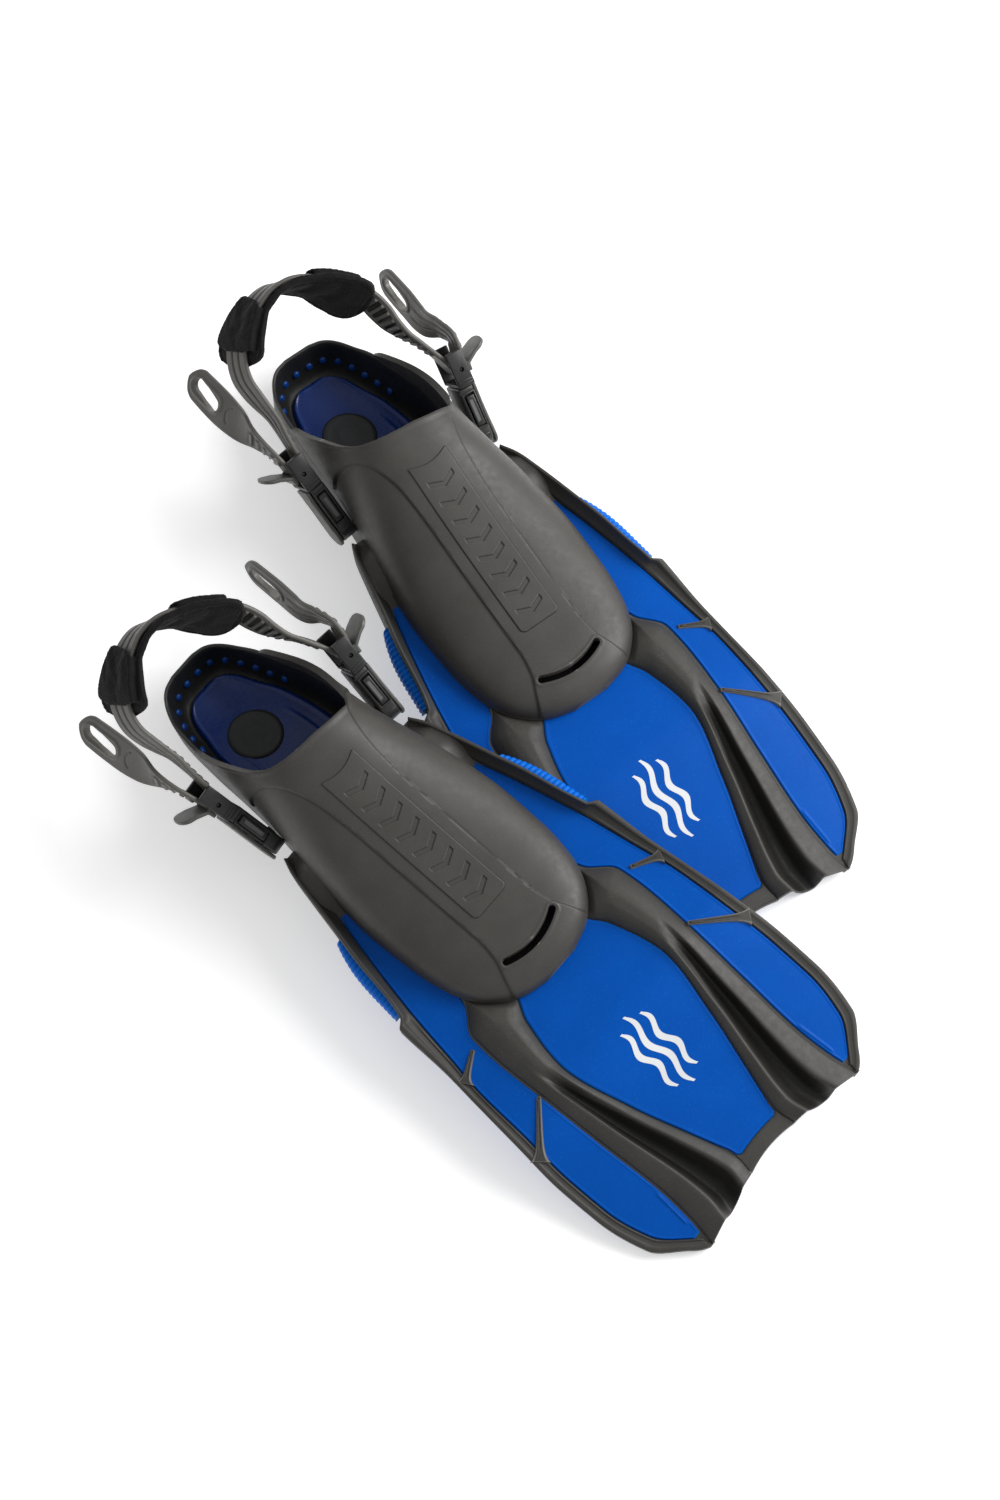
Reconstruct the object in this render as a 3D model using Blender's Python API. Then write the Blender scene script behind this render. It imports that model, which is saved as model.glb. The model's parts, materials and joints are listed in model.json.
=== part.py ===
"""A pair of open-heel snorkelling fins with quick-release heel straps.

Each fin is built in its own frame: u runs from heel to tip, v across, z up from the floor.
"outer" is the side away from the other fin. Lengths are in metres and angles in degrees.
"""
import math

import bmesh
import bpy
from mathutils import Matrix, Vector

GAP = 0.0004                      # clearance left between neighbouring pieces

# Where the two fins lie
RIGHT_HEEL = Vector((0.0910, 0.3013, 0.0))
LEFT_HEEL = Vector((-0.0997, 0.1556, 0.0098))
RIGHT_HEADING = -90.0
LEFT_HEADING = -77.5
LEFT_ROLL = 8.0                   # its inner side lies on the right fin's edge rail
LEFT_PITCH = 0.4

# Foot pocket
POCKET_EDGE_Z = 0.0456            # lower edge of the upper, where it meets the sole tray
POCKET_WALL = 0.003
HALF_WIDTH = [(-0.028, 0.010), (-0.0255, 0.019), (-0.020, 0.026), (-0.010, 0.0325), (0.004, 0.038),
              (0.021, 0.042),
              (0.05, 0.047), (0.092, 0.050), (0.12, 0.0545), (0.155, 0.061), (0.20, 0.0655),
              (0.235, 0.0645), (0.262, 0.0605), (0.28, 0.0535), (0.293, 0.043), (0.3015, 0.029),
              (0.306, 0.013)]
POCKET_TOP = [(0.03, 0.116), (0.092, 0.115), (0.12, 0.108), (0.155, 0.095), (0.20, 0.082),
              (0.25, 0.071), (0.278, 0.0655), (0.295, 0.061), (0.303, 0.0565), (0.306, 0.0535)]
# The opening's rim on either side of the instep: how far along the fin it lies at t
RIM_SWEEP = {
    -1: [(0.0, 0.0950), (0.15, 0.0925), (0.33, 0.0870), (0.5, 0.0765), (0.67, 0.0600), (0.83, 0.0430),
         (0.93, 0.0310), (1.0, 0.0230)],
    1: [(0.0, 0.0950), (0.2, 0.0968), (0.4, 0.0962), (0.55, 0.0910), (0.67, 0.0790), (0.83, 0.0530),
        (0.93, 0.0290), (1.0, 0.0100)],
}
HEEL_SKEW = -0.006                # the heel bends to one side, as a foot does
SKEW_FROM = (0.065, -0.010)
SECTION_POWER = 2.6
POCKET_END = 0.306
TOE_SIDE = 0.057                  # half width at which the toe's curve turns into the flank
SEAM_INSET = 0.0028               # how far the seam between tray and blade hides under the upper
SLOT_U = 0.2865                    # drain slot over the toes
SLOT_HALF = 0.023
SLOT_BOW = 0.0055
SLOT_WIDTH = 0.0052

# Sole tray and insole
TRAY_INSET = 0.0035
TRAY_WALL = 0.003
TRAY_RIM = [(-0.028, 0.035), (-0.008, 0.038), (0.010, 0.0446), (0.06, 0.0452), (0.306, 0.0452)]
FLOOR_Z = [(-0.028, 0.0055), (0.07, 0.006), (0.12, 0.0155), (0.20, 0.0305), (0.26, 0.0385), (0.306, 0.0400)]
SOLE_DEPTH = 0.006
# Lower end of the tray's wall, and the width of its flat underside as a share of the outline
SOLE_FLANK = [(-0.028, 0.010), (0.09, 0.010), (0.16, 0.036), (0.306, 0.038)]
SOLE_TUCK = [(-0.028, 0.80), (0.09, 0.80), (0.16, 0.50), (0.306, 0.50)]
INSOLE_SPAN = (-0.014, 0.236)
INSOLE_HALF = [(-0.014, 0.009), (-0.010, 0.0165), (-0.002, 0.0225), (0.012, 0.027), (0.03, 0.0325),
               (0.06, 0.0355), (0.11, 0.037), (0.17, 0.0375), (0.21, 0.034), (0.229, 0.024), (0.236, 0.012)]
INSOLE_THICK = 0.002

# Blade
BLADE_Z = [(0.11, 0.045), (0.30, 0.045), (0.35, 0.0440), (0.40, 0.0320), (0.45, 0.0220), (0.498, 0.0120)]
BLADE_THICK = 0.004
EDGE_DROOP = 0.005
WIDEST = 0.107
PANEL_HALF = [(0.29, 0.0335), (0.296, 0.0335), (0.32, 0.043), (0.352, 0.0505), (0.40, 0.0405),
              (0.44, 0.0285), (0.465, 0.021), (0.4735, 0.0195), (0.486, 0.0215)]
PANEL_START = 0.300
PANEL_END = 0.486
ARM_OUTER = [(0.268, 0.056), (0.277, 0.0585), (0.297, 0.0725), (0.32, 0.074), (0.349, 0.073),
             (0.40, 0.0705), (0.45, 0.068), (0.475, 0.0695), (0.496, 0.0735)]
ARM_START = 0.271
CHANNEL_END = 0.496
ARM_RISE = [(0.0, 0.003), (0.12, 0.009), (0.30, 0.006), (0.42, 0.004), (1.0, 0.0065)]
GUTTER_DEPTH = [(0.0, 0.0), (0.30, 0.0), (0.42, 0.003), (0.70, 0.0075), (1.0, 0.0088)]
RAIL_INNER = [(0.122, 0.0585), (0.15, 0.0640), (0.175, 0.0700), (0.20, 0.0765), (0.249, 0.0870),
              (0.27, 0.0905), (0.29, 0.0935), (0.322, 0.0985), (0.36, 0.1010), (0.40, 0.1035),
              (0.43, 0.1030), (0.4625, 0.0965), (0.4895, 0.0745)]
RAIL_OUTER = [(0.118, 0.0630), (0.13, 0.0680), (0.15, 0.0730), (0.181, 0.0800), (0.20, 0.0845),
              (0.249, 0.0945), (0.254, 0.1005), (0.29, 0.1020), (0.322, 0.1050), (0.36, 0.1085),
              (0.40, 0.1115), (0.43, 0.1110), (0.467, 0.1040), (0.4975, 0.0745)]
RAIL_CREST = [(0.118, 0.003), (0.14, 0.010), (0.18, 0.013), (0.24, 0.012), (0.2545, 0.008),
              (0.29, 0.004), (0.322, 0.002), (0.4975, 0.0015)]
RAIL_ROWS = [0.122, 0.135, 0.15, 0.165, 0.18, 0.20, 0.22, 0.24, 0.25, 0.256, 0.27, 0.2775, 0.285, 0.2925,
             0.30, 0.322, 0.345, 0.365, 0.385, 0.405, 0.425, 0.44, 0.452, 0.4625, 0.472, 0.481, 0.4885]
RAIL_SKEW = [(0.122, 0.118), (0.24, 0.239), (0.256, 0.2555), (0.425, 0.425), (0.4625, 0.467),
             (0.4885, 0.4975)]
SIDE_SPAN = (0.160, 0.485)
GRIP_SPAN = (0.184, 0.2465)
GRIP_WIDTH = 0.0055
STRUTS = [((0.3085, 0.0990), (0.298, 0.079)), ((0.3785, 0.1060), (0.351, 0.0745))]
STRUT_RISE = 0.0022

# Strap, pad and buckles: a runs from the post up and back, b outward, c across the strap
POST = Vector((0.097, 0.0, 0.040))
STRAP_TILT = 37.5
BUCKLE_SPLAY = 6.0
POST_RADIUS = 0.003
STRAP_HALF = 0.010
STRAP_THICK = 0.0032
PIN_A = 0.0464
PIN_B = 0.0615
PIN_RADIUS = 0.00125
TURN_RADIUS = 0.0036              # strap's middle line round the pin
LEVER_PROFILE = [(0.0420, 0.0674), (0.0480, 0.0674), (0.0540, 0.0765), (0.0590, 0.0862),
                 (0.0567, 0.0873), (0.0516, 0.0777), (0.0468, 0.0702), (0.0420, 0.0698)]
STRAP_LEAN = (24.0, 44.0)         # how far each half of the loop leans to one side beyond the buckles
LEAN_FROM = (0.068, 0.116)
STRAP_SWAY = -0.020               # how far the loop's far end lies to that side
SWAY_FROM = (0.075, 0.140)
STRAP_TUCK = (0.088, 0.031, 0.013)  # where one side of the loop is drawn in, over what reach, and how far
LOOP_PATH = [(0.075, 0.0620), (0.086, 0.0607), (0.097, 0.0590), (0.108, 0.0560), (0.119, 0.0520),
             (0.138, 0.0410), (0.1525, 0.0265), (0.1610, 0.0120), (0.1635, 0.0)]
TAB_PATH = [(0.0445, 0.0750, 0.0790), (0.028, 0.0785, 0.0800), (0.008, 0.0800, 0.0745),
            (-0.014, 0.0808, 0.0680), (-0.034, 0.0814, 0.0635), (-0.045, 0.0817, 0.0620)]
TAB_WIDTH = [0.010, 0.010, 0.0115, 0.0130, 0.0125, 0.0070]
TAB_LEAN = {-1: 42.0, 1: -16.0}
TAB_SHIFT = {-1: (0.0, 0.0, 0.0), 1: (0.010, -0.009, -0.010)}
LOOP_HOLE = (-0.038, -0.010, 0.0050)      # finger hole: start, end, half width
PAD_THICK = 0.006
PAD_HALF = [(0.0, 0.016), (0.35, 0.016), (0.62, 0.0215), (0.85, 0.022), (0.96, 0.015), (1.0, 0.009)]
PAD_START = 0.115

COLOURS = {
    "pocket": ((0.075, 0.070, 0.062), 0.55),
    "rubber": ((0.060, 0.058, 0.052), 0.60),
    "blue": ((0.0, 0.065, 0.58), 0.35),
    "strap": ((0.17, 0.165, 0.15), 0.50),
    "pad": ((0.012, 0.011, 0.012), 0.85),
    "buckle": ((0.030, 0.032, 0.032), 0.40),
    "lever": ((0.14, 0.145, 0.135), 0.45),
    "steel": ((0.55, 0.55, 0.56), 0.30),
}


def keyed(keys, x):
    """Smooth value at x on a curve through keyed points, without overshoot."""
    if x <= keys[0][0]:
        return keys[0][1]
    if x >= keys[-1][0]:
        return keys[-1][1]
    slopes = [(b[1] - a[1]) / (b[0] - a[0]) for a, b in zip(keys, keys[1:])]
    i = next(k for k in range(len(slopes)) if x <= keys[k + 1][0])

    def tangent(k):
        if k == 0 or k == len(slopes):
            return slopes[min(k, len(slopes) - 1)]
        before, after = slopes[k - 1], slopes[k]
        return 0.0 if before * after <= 0.0 else 2.0 * before * after / (before + after)

    width = keys[i + 1][0] - keys[i][0]
    t = (x - keys[i][0]) / width
    start = keys[i][1] * (1 + 2 * t) * (1 - t) ** 2 + tangent(i) * width * t * (1 - t) ** 2
    end = keys[i + 1][1] * t * t * (3 - 2 * t) + tangent(i + 1) * width * t * t * (t - 1)
    return start + end


def steps(first, last, count):
    """Evenly spaced values from first to last."""
    return [first + (last - first) * k / (count - 1) for k in range(count)]


def blade_z(u, v):
    """Top of the blade, which arches down to the tip and droops at its edges."""
    return keyed(BLADE_Z, u) - EDGE_DROOP * (abs(v) / WIDEST) ** 3


def toe_u(v):
    """Where the seam between sole tray and blade runs, ahead of the toes."""
    front = [(w, u) for u, w in reversed(HALF_WIDTH) if u > 0.25]
    return keyed([(0.0, POCKET_END + 0.0005)] + front, min(abs(v), TOE_SIDE)) - SEAM_INSET


def material(name):
    """One Principled material per finish."""
    found = bpy.data.materials.get(name)
    if found:
        return found
    made = bpy.data.materials.new(name)
    made.use_nodes = True
    colour, roughness = COLOURS[name]
    shader = made.node_tree.nodes["Principled BSDF"]
    shader.inputs["Base Color"].default_value = (*colour, 1.0)
    shader.inputs["Roughness"].default_value = roughness
    shader.inputs["Metallic"].default_value = 1.0 if name == "steel" else 0.0
    return made


def add_object(name, bm, finish, parent):
    """Turn a bmesh in fin coordinates into an object under its parent empty."""
    bmesh.ops.recalc_face_normals(bm, faces=bm.faces)
    mesh = bpy.data.meshes.new(name)
    bm.to_mesh(mesh)
    bm.free()
    mesh.transform(parent["reference"].inverted())
    obj = bpy.data.objects.new(name, mesh)
    mesh.materials.append(material(finish))
    obj.parent = parent["empty"]
    bpy.context.collection.objects.link(obj)
    return obj


def solid(name, top, bottom, finish, parent):
    """Closed solid between two grids of points that share their layout."""
    bm = bmesh.new()
    rows, columns = len(top), len(top[0])
    upper = [[bm.verts.new(p) for p in row] for row in top]
    lower = [[bm.verts.new(p) for p in row] for row in bottom]
    for i in range(rows - 1):
        for j in range(columns - 1):
            bm.faces.new((upper[i][j], upper[i][j + 1], upper[i + 1][j + 1], upper[i + 1][j]))
            bm.faces.new((lower[i][j], lower[i + 1][j], lower[i + 1][j + 1], lower[i][j + 1]))
    for i in range(rows - 1):
        for j in (0, columns - 1):
            bm.faces.new((upper[i][j], upper[i + 1][j], lower[i + 1][j], lower[i][j]))
    for j in range(columns - 1):
        for i in (0, rows - 1):
            bm.faces.new((upper[i][j], lower[i][j], lower[i][j + 1], upper[i][j + 1]))
    return add_object(name, bm, finish, parent)


def prism(name, outline, offset, finish, parent):
    """Closed solid from a flat outline of points and the vector it is extruded along."""
    bm = bmesh.new()
    near = [bm.verts.new(p) for p in outline]
    far = [bm.verts.new(Vector(p) + offset) for p in outline]
    bm.faces.new(near)
    bm.faces.new(list(reversed(far)))
    for k in range(len(near)):
        n = (k + 1) % len(near)
        bm.faces.new((near[k], far[k], far[n], near[n]))
    return add_object(name, bm, finish, parent)


def rod(name, start, end, radius, finish, parent, sides=16):
    """Round rod between two points."""
    axis = (Vector(end) - Vector(start)).normalized()
    across = axis.orthogonal().normalized()
    third = axis.cross(across)
    ring = [Vector(start) + radius * (across * math.cos(a) + third * math.sin(a))
            for a in (math.tau * k / sides for k in range(sides))]
    return prism(name, ring, Vector(end) - Vector(start), finish, parent)


def combine(obj, tool, operation):
    """Apply a Boolean with a tool object, then remove the tool."""
    modifier = obj.modifiers.new(operation.lower(), "BOOLEAN")
    modifier.operation = operation
    modifier.object = tool
    bpy.context.view_layer.update()
    evaluated = obj.evaluated_get(bpy.context.evaluated_depsgraph_get())
    mesh = bpy.data.meshes.new_from_object(evaluated)
    mesh.name = obj.name
    obj.modifiers.clear()
    obj.data = mesh
    bpy.data.objects.remove(tool)


def empty(name, matrix, parent=None):
    """Parent empty whose matrix is given in the fin's own coordinates."""
    made = bpy.data.objects.new(name, None)
    made.empty_display_size = 0.02
    bpy.context.collection.objects.link(made)
    if parent:
        made.parent = parent["empty"]
        made.matrix_local = parent["reference"].inverted() @ matrix
        return {"empty": made, "reference": matrix}
    made.matrix_world = matrix
    return {"empty": made, "reference": Matrix.Identity(4)}


# Foot pocket, sole tray and insole ---------------------------------------------------------

def bent(u):
    """How far to one side the heel's middle line lies at u."""
    share = min(1.0, max(0.0, (SKEW_FROM[0] - u) / (SKEW_FROM[0] - SKEW_FROM[1])))
    return HEEL_SKEW * share * share * (3 - 2 * share)


def upper_point(u, t, inset):
    """Point on the shoe upper: t runs from -1 at one lower edge to 1 at the other."""
    angle = math.radians(90.0 * t)
    half = keyed(HALF_WIDTH, u + inset) - inset
    height = keyed(POCKET_TOP, u + inset) - inset - POCKET_EDGE_Z
    across = math.copysign(abs(math.sin(angle)) ** (2 / SECTION_POWER), t)
    up = max(math.cos(angle), 0.0) ** (2 / SECTION_POWER)
    return Vector((u, half * across + bent(u), POCKET_EDGE_Z + height * up))


def upper_grid(inset):
    """Rows from the slanted opening rim to the toe, ending on the lower edge."""
    columns = steps(-1.0, 1.0, 19)
    rows = []
    for s in [0.0, 0.12, 0.25, 0.38, 0.52, 0.66, 0.78, 0.87, 0.93, 0.97, 0.99, 1.0]:
        row = []
        for t in columns:
            rim = keyed(RIM_SWEEP[1 if t > 0.0 else -1], abs(t))
            row.append(upper_point(rim + (POCKET_END - inset - rim) * s, t, inset))
        rows.append(row)
    rows.append([Vector((p.x, p.y, POCKET_EDGE_Z)) for p in rows[-1]])
    return rows


def foot_pocket(name, parent):
    """Soft shoe upper with the curved drain slot through it."""
    obj = solid(name, upper_grid(0.0), upper_grid(POCKET_WALL), "pocket", parent)
    low, high = [], []
    for s in steps(-1.0, 1.0, 7):
        u = SLOT_U - SLOT_BOW * s * s
        edges = [Vector((u + side * SLOT_WIDTH / 2, s * SLOT_HALF, 0.0)) for side in (-1, 1)]
        low.append([p + Vector((0, 0, 0.052)) for p in edges])
        high.append([p + Vector((0, 0, 0.080)) for p in edges])
    combine(obj, solid("slot_tool", high, low, "pocket", parent), "DIFFERENCE")


def heel_plate(name, parent):
    """Sole tray: footbed with a low wall all round, higher at the sides."""
    ends = (HALF_WIDTH[0][0], POCKET_END - TRAY_INSET - 0.0015)
    stations = [ends[0], -0.0255, -0.0155, -0.006, 0.006, 0.02, 0.045, 0.07, 0.10, 0.14, 0.18, 0.215,
                0.245, 0.265, 0.278, 0.288, 0.2945, 0.2975, ends[1]]
    across = [-1.0, -0.93, -0.86, -0.5, 0.0, 0.5, 0.86, 0.93, 1.0]
    middle = sum(ends) / 2
    top, bottom = [], []
    for k, u in enumerate(stations):
        inset = TRAY_INSET * min(1.0, max(0.0, (u - 0.11) / 0.03))
        half = keyed(HALF_WIDTH, u + inset) - inset
        at_end = k in (0, 1, len(stations) - 2, len(stations) - 1)
        rim = keyed(TRAY_RIM, u)
        floor = keyed(FLOOR_Z, u)
        upper_row, lower_row = [], []
        for s in across:
            on_wall = at_end or abs(s) > 0.9
            upper_row.append(Vector((u, half * s + bent(u), rim if on_wall else floor)))
            under = max(floor - SOLE_DEPTH, 0.0)
            flank = abs(s) > 0.9
            raised = keyed(SOLE_FLANK, u) if flank else under + 0.005 * at_end
            width = half * s * (1.0 if flank else keyed(SOLE_TUCK, u))
            along = middle + (u - middle) * 0.985
            lower_row.append(Vector((along, width + bent(u), min(raised, rim - 0.004))))
        top.append(upper_row)
        bottom.append(lower_row)
    return solid(name, top, bottom, "rubber", parent)


def insole(name, parent):
    """Kidney-shaped inlay lying on the footbed."""
    top, bottom = [], []
    for u in [INSOLE_SPAN[0], -0.010, -0.002] + steps(0.012, INSOLE_SPAN[1], 12):
        half = keyed(INSOLE_HALF, u)
        row = [Vector((u, half * s + bent(u), keyed(FLOOR_Z, u) + GAP + 0.0004))
               for s in (-1.0, -0.4, 0.4, 1.0)]
        bottom.append(row)
        top.append([p + Vector((0, 0, INSOLE_THICK)) for p in row])
    return solid(name, top, bottom, "blue", parent)


# Blade -------------------------------------------------------------------------------------

BLADE_ROWS = [0.0, 0.021, 0.06, 0.11, 0.17, 0.24, 0.31, 0.38, 0.46, 0.55, 0.65, 0.75, 0.85, 0.93, 1.0]
UNDER_LIP = 0.02                  # share of the blade rows that stays flat under the upper's lip


def pulled_to_toe(u, v, along):
    """Bend the rear rows of a blade piece round the seam ahead of the toes."""
    fade = max(0.0, 1.0 - along / 0.25)
    return u + (toe_u(v) + along * (PANEL_END - PANEL_START) - u) * fade


def center_panel(name, parent):
    """Stiff centre panel between the two channels."""
    top, bottom = [], []
    for along in BLADE_ROWS:
        station = PANEL_START + (PANEL_END - PANEL_START) * along
        half = keyed(PANEL_HALF, station)
        row = []
        for s in (-1.0, -0.6, -0.2, 0.2, 0.6, 1.0):
            u = pulled_to_toe(station, half * s, along)
            row.append(Vector((u, half * s, blade_z(u, half * s))))
        top.append(row)
        bottom.append([p - Vector((0, 0, BLADE_THICK)) for p in row])
    return solid(name, top, bottom, "blue", parent)


def channel(name, side, parent):
    """Flexible arm beside the toes that opens into a gutter with raised lips."""
    top, bottom = [], []
    for along in BLADE_ROWS:
        inner_u = PANEL_START + (PANEL_END - PANEL_START) * along
        outer_u = ARM_START + (CHANNEL_END - ARM_START) * along
        inner_v = keyed(PANEL_HALF, inner_u) + GAP
        outer_v = keyed(ARM_OUTER, outer_u)
        rise, depth = keyed(ARM_RISE, along), keyed(GUTTER_DEPTH, along)
        row, under = [], []
        for s in (0.0, 0.14, 0.28, 0.44, 0.56, 0.72, 0.86, 1.0):
            v = inner_v + (outer_v - inner_v) * s
            u = pulled_to_toe(inner_u + (outer_u - inner_u) * s, v, along)
            lip = math.sin(math.pi * s)
            hump = rise * min(1.0, 1.6 * lip)
            valley = (rise + depth) * lip ** 3 * min(1.0, depth / 0.003)
            z = blade_z(u, v) + (hump - valley if along > UNDER_LIP + 0.01 else 0.0)
            row.append(Vector((u, side * v, z)))
            under.append(Vector((u, side * v, max(z - BLADE_THICK, 0.0))))
        top.append(row)
        bottom.append(under)
    return solid(name, top, bottom, "rubber", parent)


def arm_edge():
    """Outer edge of an arm and its channel, as (u, v) points."""
    edge = []
    for along in BLADE_ROWS:
        u = ARM_START + (CHANNEL_END - ARM_START) * along
        v = keyed(ARM_OUTER, u)
        edge.append((pulled_to_toe(u, v, along), v))
    return edge


def side_panel(name, side, parent):
    """Stiff side panel between a channel and its edge rail."""
    top, bottom = [], []
    edge = arm_edge()
    for u in [u for u in RAIL_ROWS if SIDE_SPAN[0] < u < SIDE_SPAN[1]]:
        behind_toe = u < edge[0][0]
        inner = keyed(HALF_WIDTH, u) - SEAM_INSET if behind_toe else keyed(edge, u) + 4 * GAP
        outer = keyed(RAIL_INNER, u) - GAP
        row = [Vector((u, side * (inner + (outer - inner) * s), 0.0)) for s in (0.0, 0.33, 0.67, 1.0)]
        row = [Vector((p.x, p.y, blade_z(u, p.y))) for p in row]
        top.append(row)
        bottom.append([p - Vector((0, 0, BLADE_THICK)) for p in row])
    return solid(name, top, bottom, "blue", parent)


def edge_rail(name, side, parent):
    """Side rail with a tall flange at the shoulder and two struts."""
    top, bottom = [], []
    for inner_u in RAIL_ROWS:
        outer_u = keyed(RAIL_SKEW, inner_u)
        inner_v, outer_v = keyed(RAIL_INNER, inner_u), keyed(RAIL_OUTER, outer_u)
        crest = keyed(RAIL_CREST, outer_u)
        row, under = [], []
        for s, share in ((0.0, 0.15), (0.4, 0.5), (0.75, 1.0), (1.0, 0.8)):
            u = inner_u + (outer_u - inner_u) * s
            v = inner_v + (outer_v - inner_v) * s
            z = blade_z(u, v)
            row.append(Vector((u, side * v, z + crest * share)))
            under.append(Vector((u, side * v, z - BLADE_THICK)))
        top.append(row)
        bottom.append(under)
    obj = solid(name, top, bottom, "rubber", parent)
    for root, tip in STRUTS:
        combine(obj, strut(root, tip, side, parent), "UNION")


def strut(root, tip, side, parent):
    """Raised strut that tapers from the rail towards the channel."""
    along = (Vector(tip) - Vector(root)).normalized()
    across = Vector((-along.y, along.x))
    top, bottom = [], []
    for share in (0.0, 0.35, 0.7, 1.0):
        middle = Vector(root).lerp(Vector(tip), share)
        half = 0.0030 - 0.0016 * share
        row = []
        for edge in (-1, 1):
            p = middle + across * half * edge
            row.append(Vector((p.x, side * p.y, blade_z(p.x, p.y) + 2 * GAP)))
        bottom.append(row)
        top.append([p + Vector((0, 0, STRUT_RISE)) for p in row])
    return solid("strut_tool", top, bottom, "rubber", parent)


def grip_strip(name, side, parent):
    """Ribbed grip strip along the outside of the rail's flange."""
    ribs = 8
    top, bottom = [], []
    for k in range(2 * ribs + 1):
        u = GRIP_SPAN[0] + (GRIP_SPAN[1] - GRIP_SPAN[0]) * k / (2 * ribs)
        inner = keyed(RAIL_OUTER, u) + 3 * GAP
        bulge = GRIP_WIDTH * (0.45 + 0.55 * math.sin(math.pi * k / (2 * ribs))) - 0.0008 * (k % 2)
        z = keyed(BLADE_Z, u) - EDGE_DROOP * (inner / WIDEST) ** 3
        rib = 0.0008 * (1 - k % 2)
        top.append([Vector((u, side * inner, z + 0.006 + rib)),
                    Vector((u, side * (inner + bulge * 0.6), z + 0.0045 + rib)),
                    Vector((u, side * (inner + bulge), z + 0.0010))])
        bottom.append([Vector((p.x, p.y, z - 0.003)) for p in top[-1]])
    return solid(name, top, bottom, "blue", parent)


# Strap and buckles -------------------------------------------------------------------------

TILT = math.radians(STRAP_TILT)
BACK_UP = Vector((-math.cos(TILT), 0.0, math.sin(TILT)))
STRAP_ACROSS = Vector((math.sin(TILT), 0.0, math.cos(TILT)))


def strap_point(a, b, c=0.0):
    """Point in the strap's plane, measured from the posts' axis."""
    return POST + BACK_UP * a + Vector((0, b, 0)) + STRAP_ACROSS * c


def buckle_point(side, a, b, c=0.0):
    """Point on a buckle, which splays outwards from its post."""
    splay = math.radians(BUCKLE_SPLAY)
    from_post = b - 0.058
    return strap_point(a * math.cos(splay) - from_post * math.sin(splay),
                       side * (0.058 + a * math.sin(splay) + from_post * math.cos(splay)), c)


def ribbon_row(centre, face, across, half, thick):
    """One row of a strap: its outer and inner edge points."""
    outer = [centre + face * thick / 2 + across * half * s for s in (-1, 0, 1)]
    inner = [centre - face * thick / 2 + across * half * s for s in (-1, 0, 1)]
    return outer, inner


def tab_rows(side):
    """Free end of the strap, from its tip to the outside of the buckle."""
    rows = []
    lean = math.radians(TAB_LEAN[side])
    count = len(TAB_PATH)
    for k in range(count - 1, -1, -1):
        u, v, z = TAB_PATH[k]
        share = min(1.0, k / 2.0)
        angle = lean * share
        across = Vector((0.0, -side * math.sin(angle), math.cos(angle)))
        across = STRAP_ACROSS.lerp(across, share).normalized()
        ahead = Vector(TAB_PATH[max(k - 1, 0)]) - Vector(TAB_PATH[min(k + 1, count - 1)])
        ahead.y *= side
        face = ahead.cross(across).normalized()
        face = face if face.y * side > 0.0 else -face
        centre = Vector((u, side * v, z)) + Vector(TAB_SHIFT[side]) * share
        rows.append(ribbon_row(centre, face, across, TAB_WIDTH[k], STRAP_THICK))
    return rows


def turn_rows(side):
    """The strap's hairpin round the buckle's pin, outer run first."""
    rows = []
    for degrees in steps(90.0, 270.0, 7):
        angle = math.radians(degrees)
        a = PIN_A + TURN_RADIUS * math.cos(angle)
        b = PIN_B + TURN_RADIUS * math.sin(angle)
        centre = buckle_point(side, a, b)
        face = centre - buckle_point(side, PIN_A, PIN_B)
        rows.append(ribbon_row(centre, face.normalized(), STRAP_ACROSS, STRAP_HALF, STRAP_THICK))
    return rows


def leaning(a, ahead):
    """Across direction of the loop where it has reached a, square to its way ahead."""
    share = min(1.0, max(0.0, (a - LEAN_FROM[0]) / (LEAN_FROM[1] - LEAN_FROM[0])))
    far = 0.5 - 0.5 * ahead.x / ahead.length
    lean = STRAP_LEAN[0] + (STRAP_LEAN[1] - STRAP_LEAN[0]) * far * far * (3 - 2 * far)
    angle = math.radians(lean) * share * share * (3 - 2 * share)
    across = STRAP_ACROSS * math.cos(angle) + Vector((0, math.sin(angle), 0))
    way = (BACK_UP * ahead.x + Vector((0, ahead.y, 0))).normalized()
    return (across - way * across.dot(way)).normalized()


def loop_path(start=0.0):
    """Middle line of the loop from one side to the other, as far as it lies beyond start."""
    half_path = [p for p in LOOP_PATH if p[0] > start]
    path = []
    for a, b in [(a, -b) for a, b in half_path] + list(reversed(half_path[:-1])):
        share = min(1.0, max(0.0, (a - SWAY_FROM[0]) / (SWAY_FROM[1] - SWAY_FROM[0])))
        middle, reach, depth = STRAP_TUCK
        drawn_in = depth * max(0.0, 1.0 - ((a - middle) / reach) ** 2) ** 1.5 if b > 0.0 else 0.0
        path.append(Vector((a, b - drawn_in + STRAP_SWAY * share * share * (3 - 2 * share))))
    return path


def loop_rows():
    """The strap round the heel, from one buckle to the other."""
    path = loop_path()
    rows = []
    for k, p in enumerate(path):
        ahead = path[min(k + 1, len(path) - 1)] - path[max(k - 1, 0)]
        across = leaning(p.x, ahead)
        face = (BACK_UP * ahead.x + Vector((0, ahead.y, 0))).cross(across).normalized()
        rows.append(ribbon_row(strap_point(*p), face, across, STRAP_HALF, STRAP_THICK))
    return rows


def strap(name, parent):
    """One strap: free end, hairpin, round the heel, hairpin and free end."""
    far_end = list(reversed(tab_rows(1) + turn_rows(1)))
    rows = tab_rows(-1) + turn_rows(-1) + loop_rows() + far_end
    obj = solid(name, [outer for outer, inner in rows], [inner for outer, inner in rows], "strap", parent)
    for side in (-1, 1):
        combine(obj, finger_hole(side, parent), "DIFFERENCE")


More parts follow.
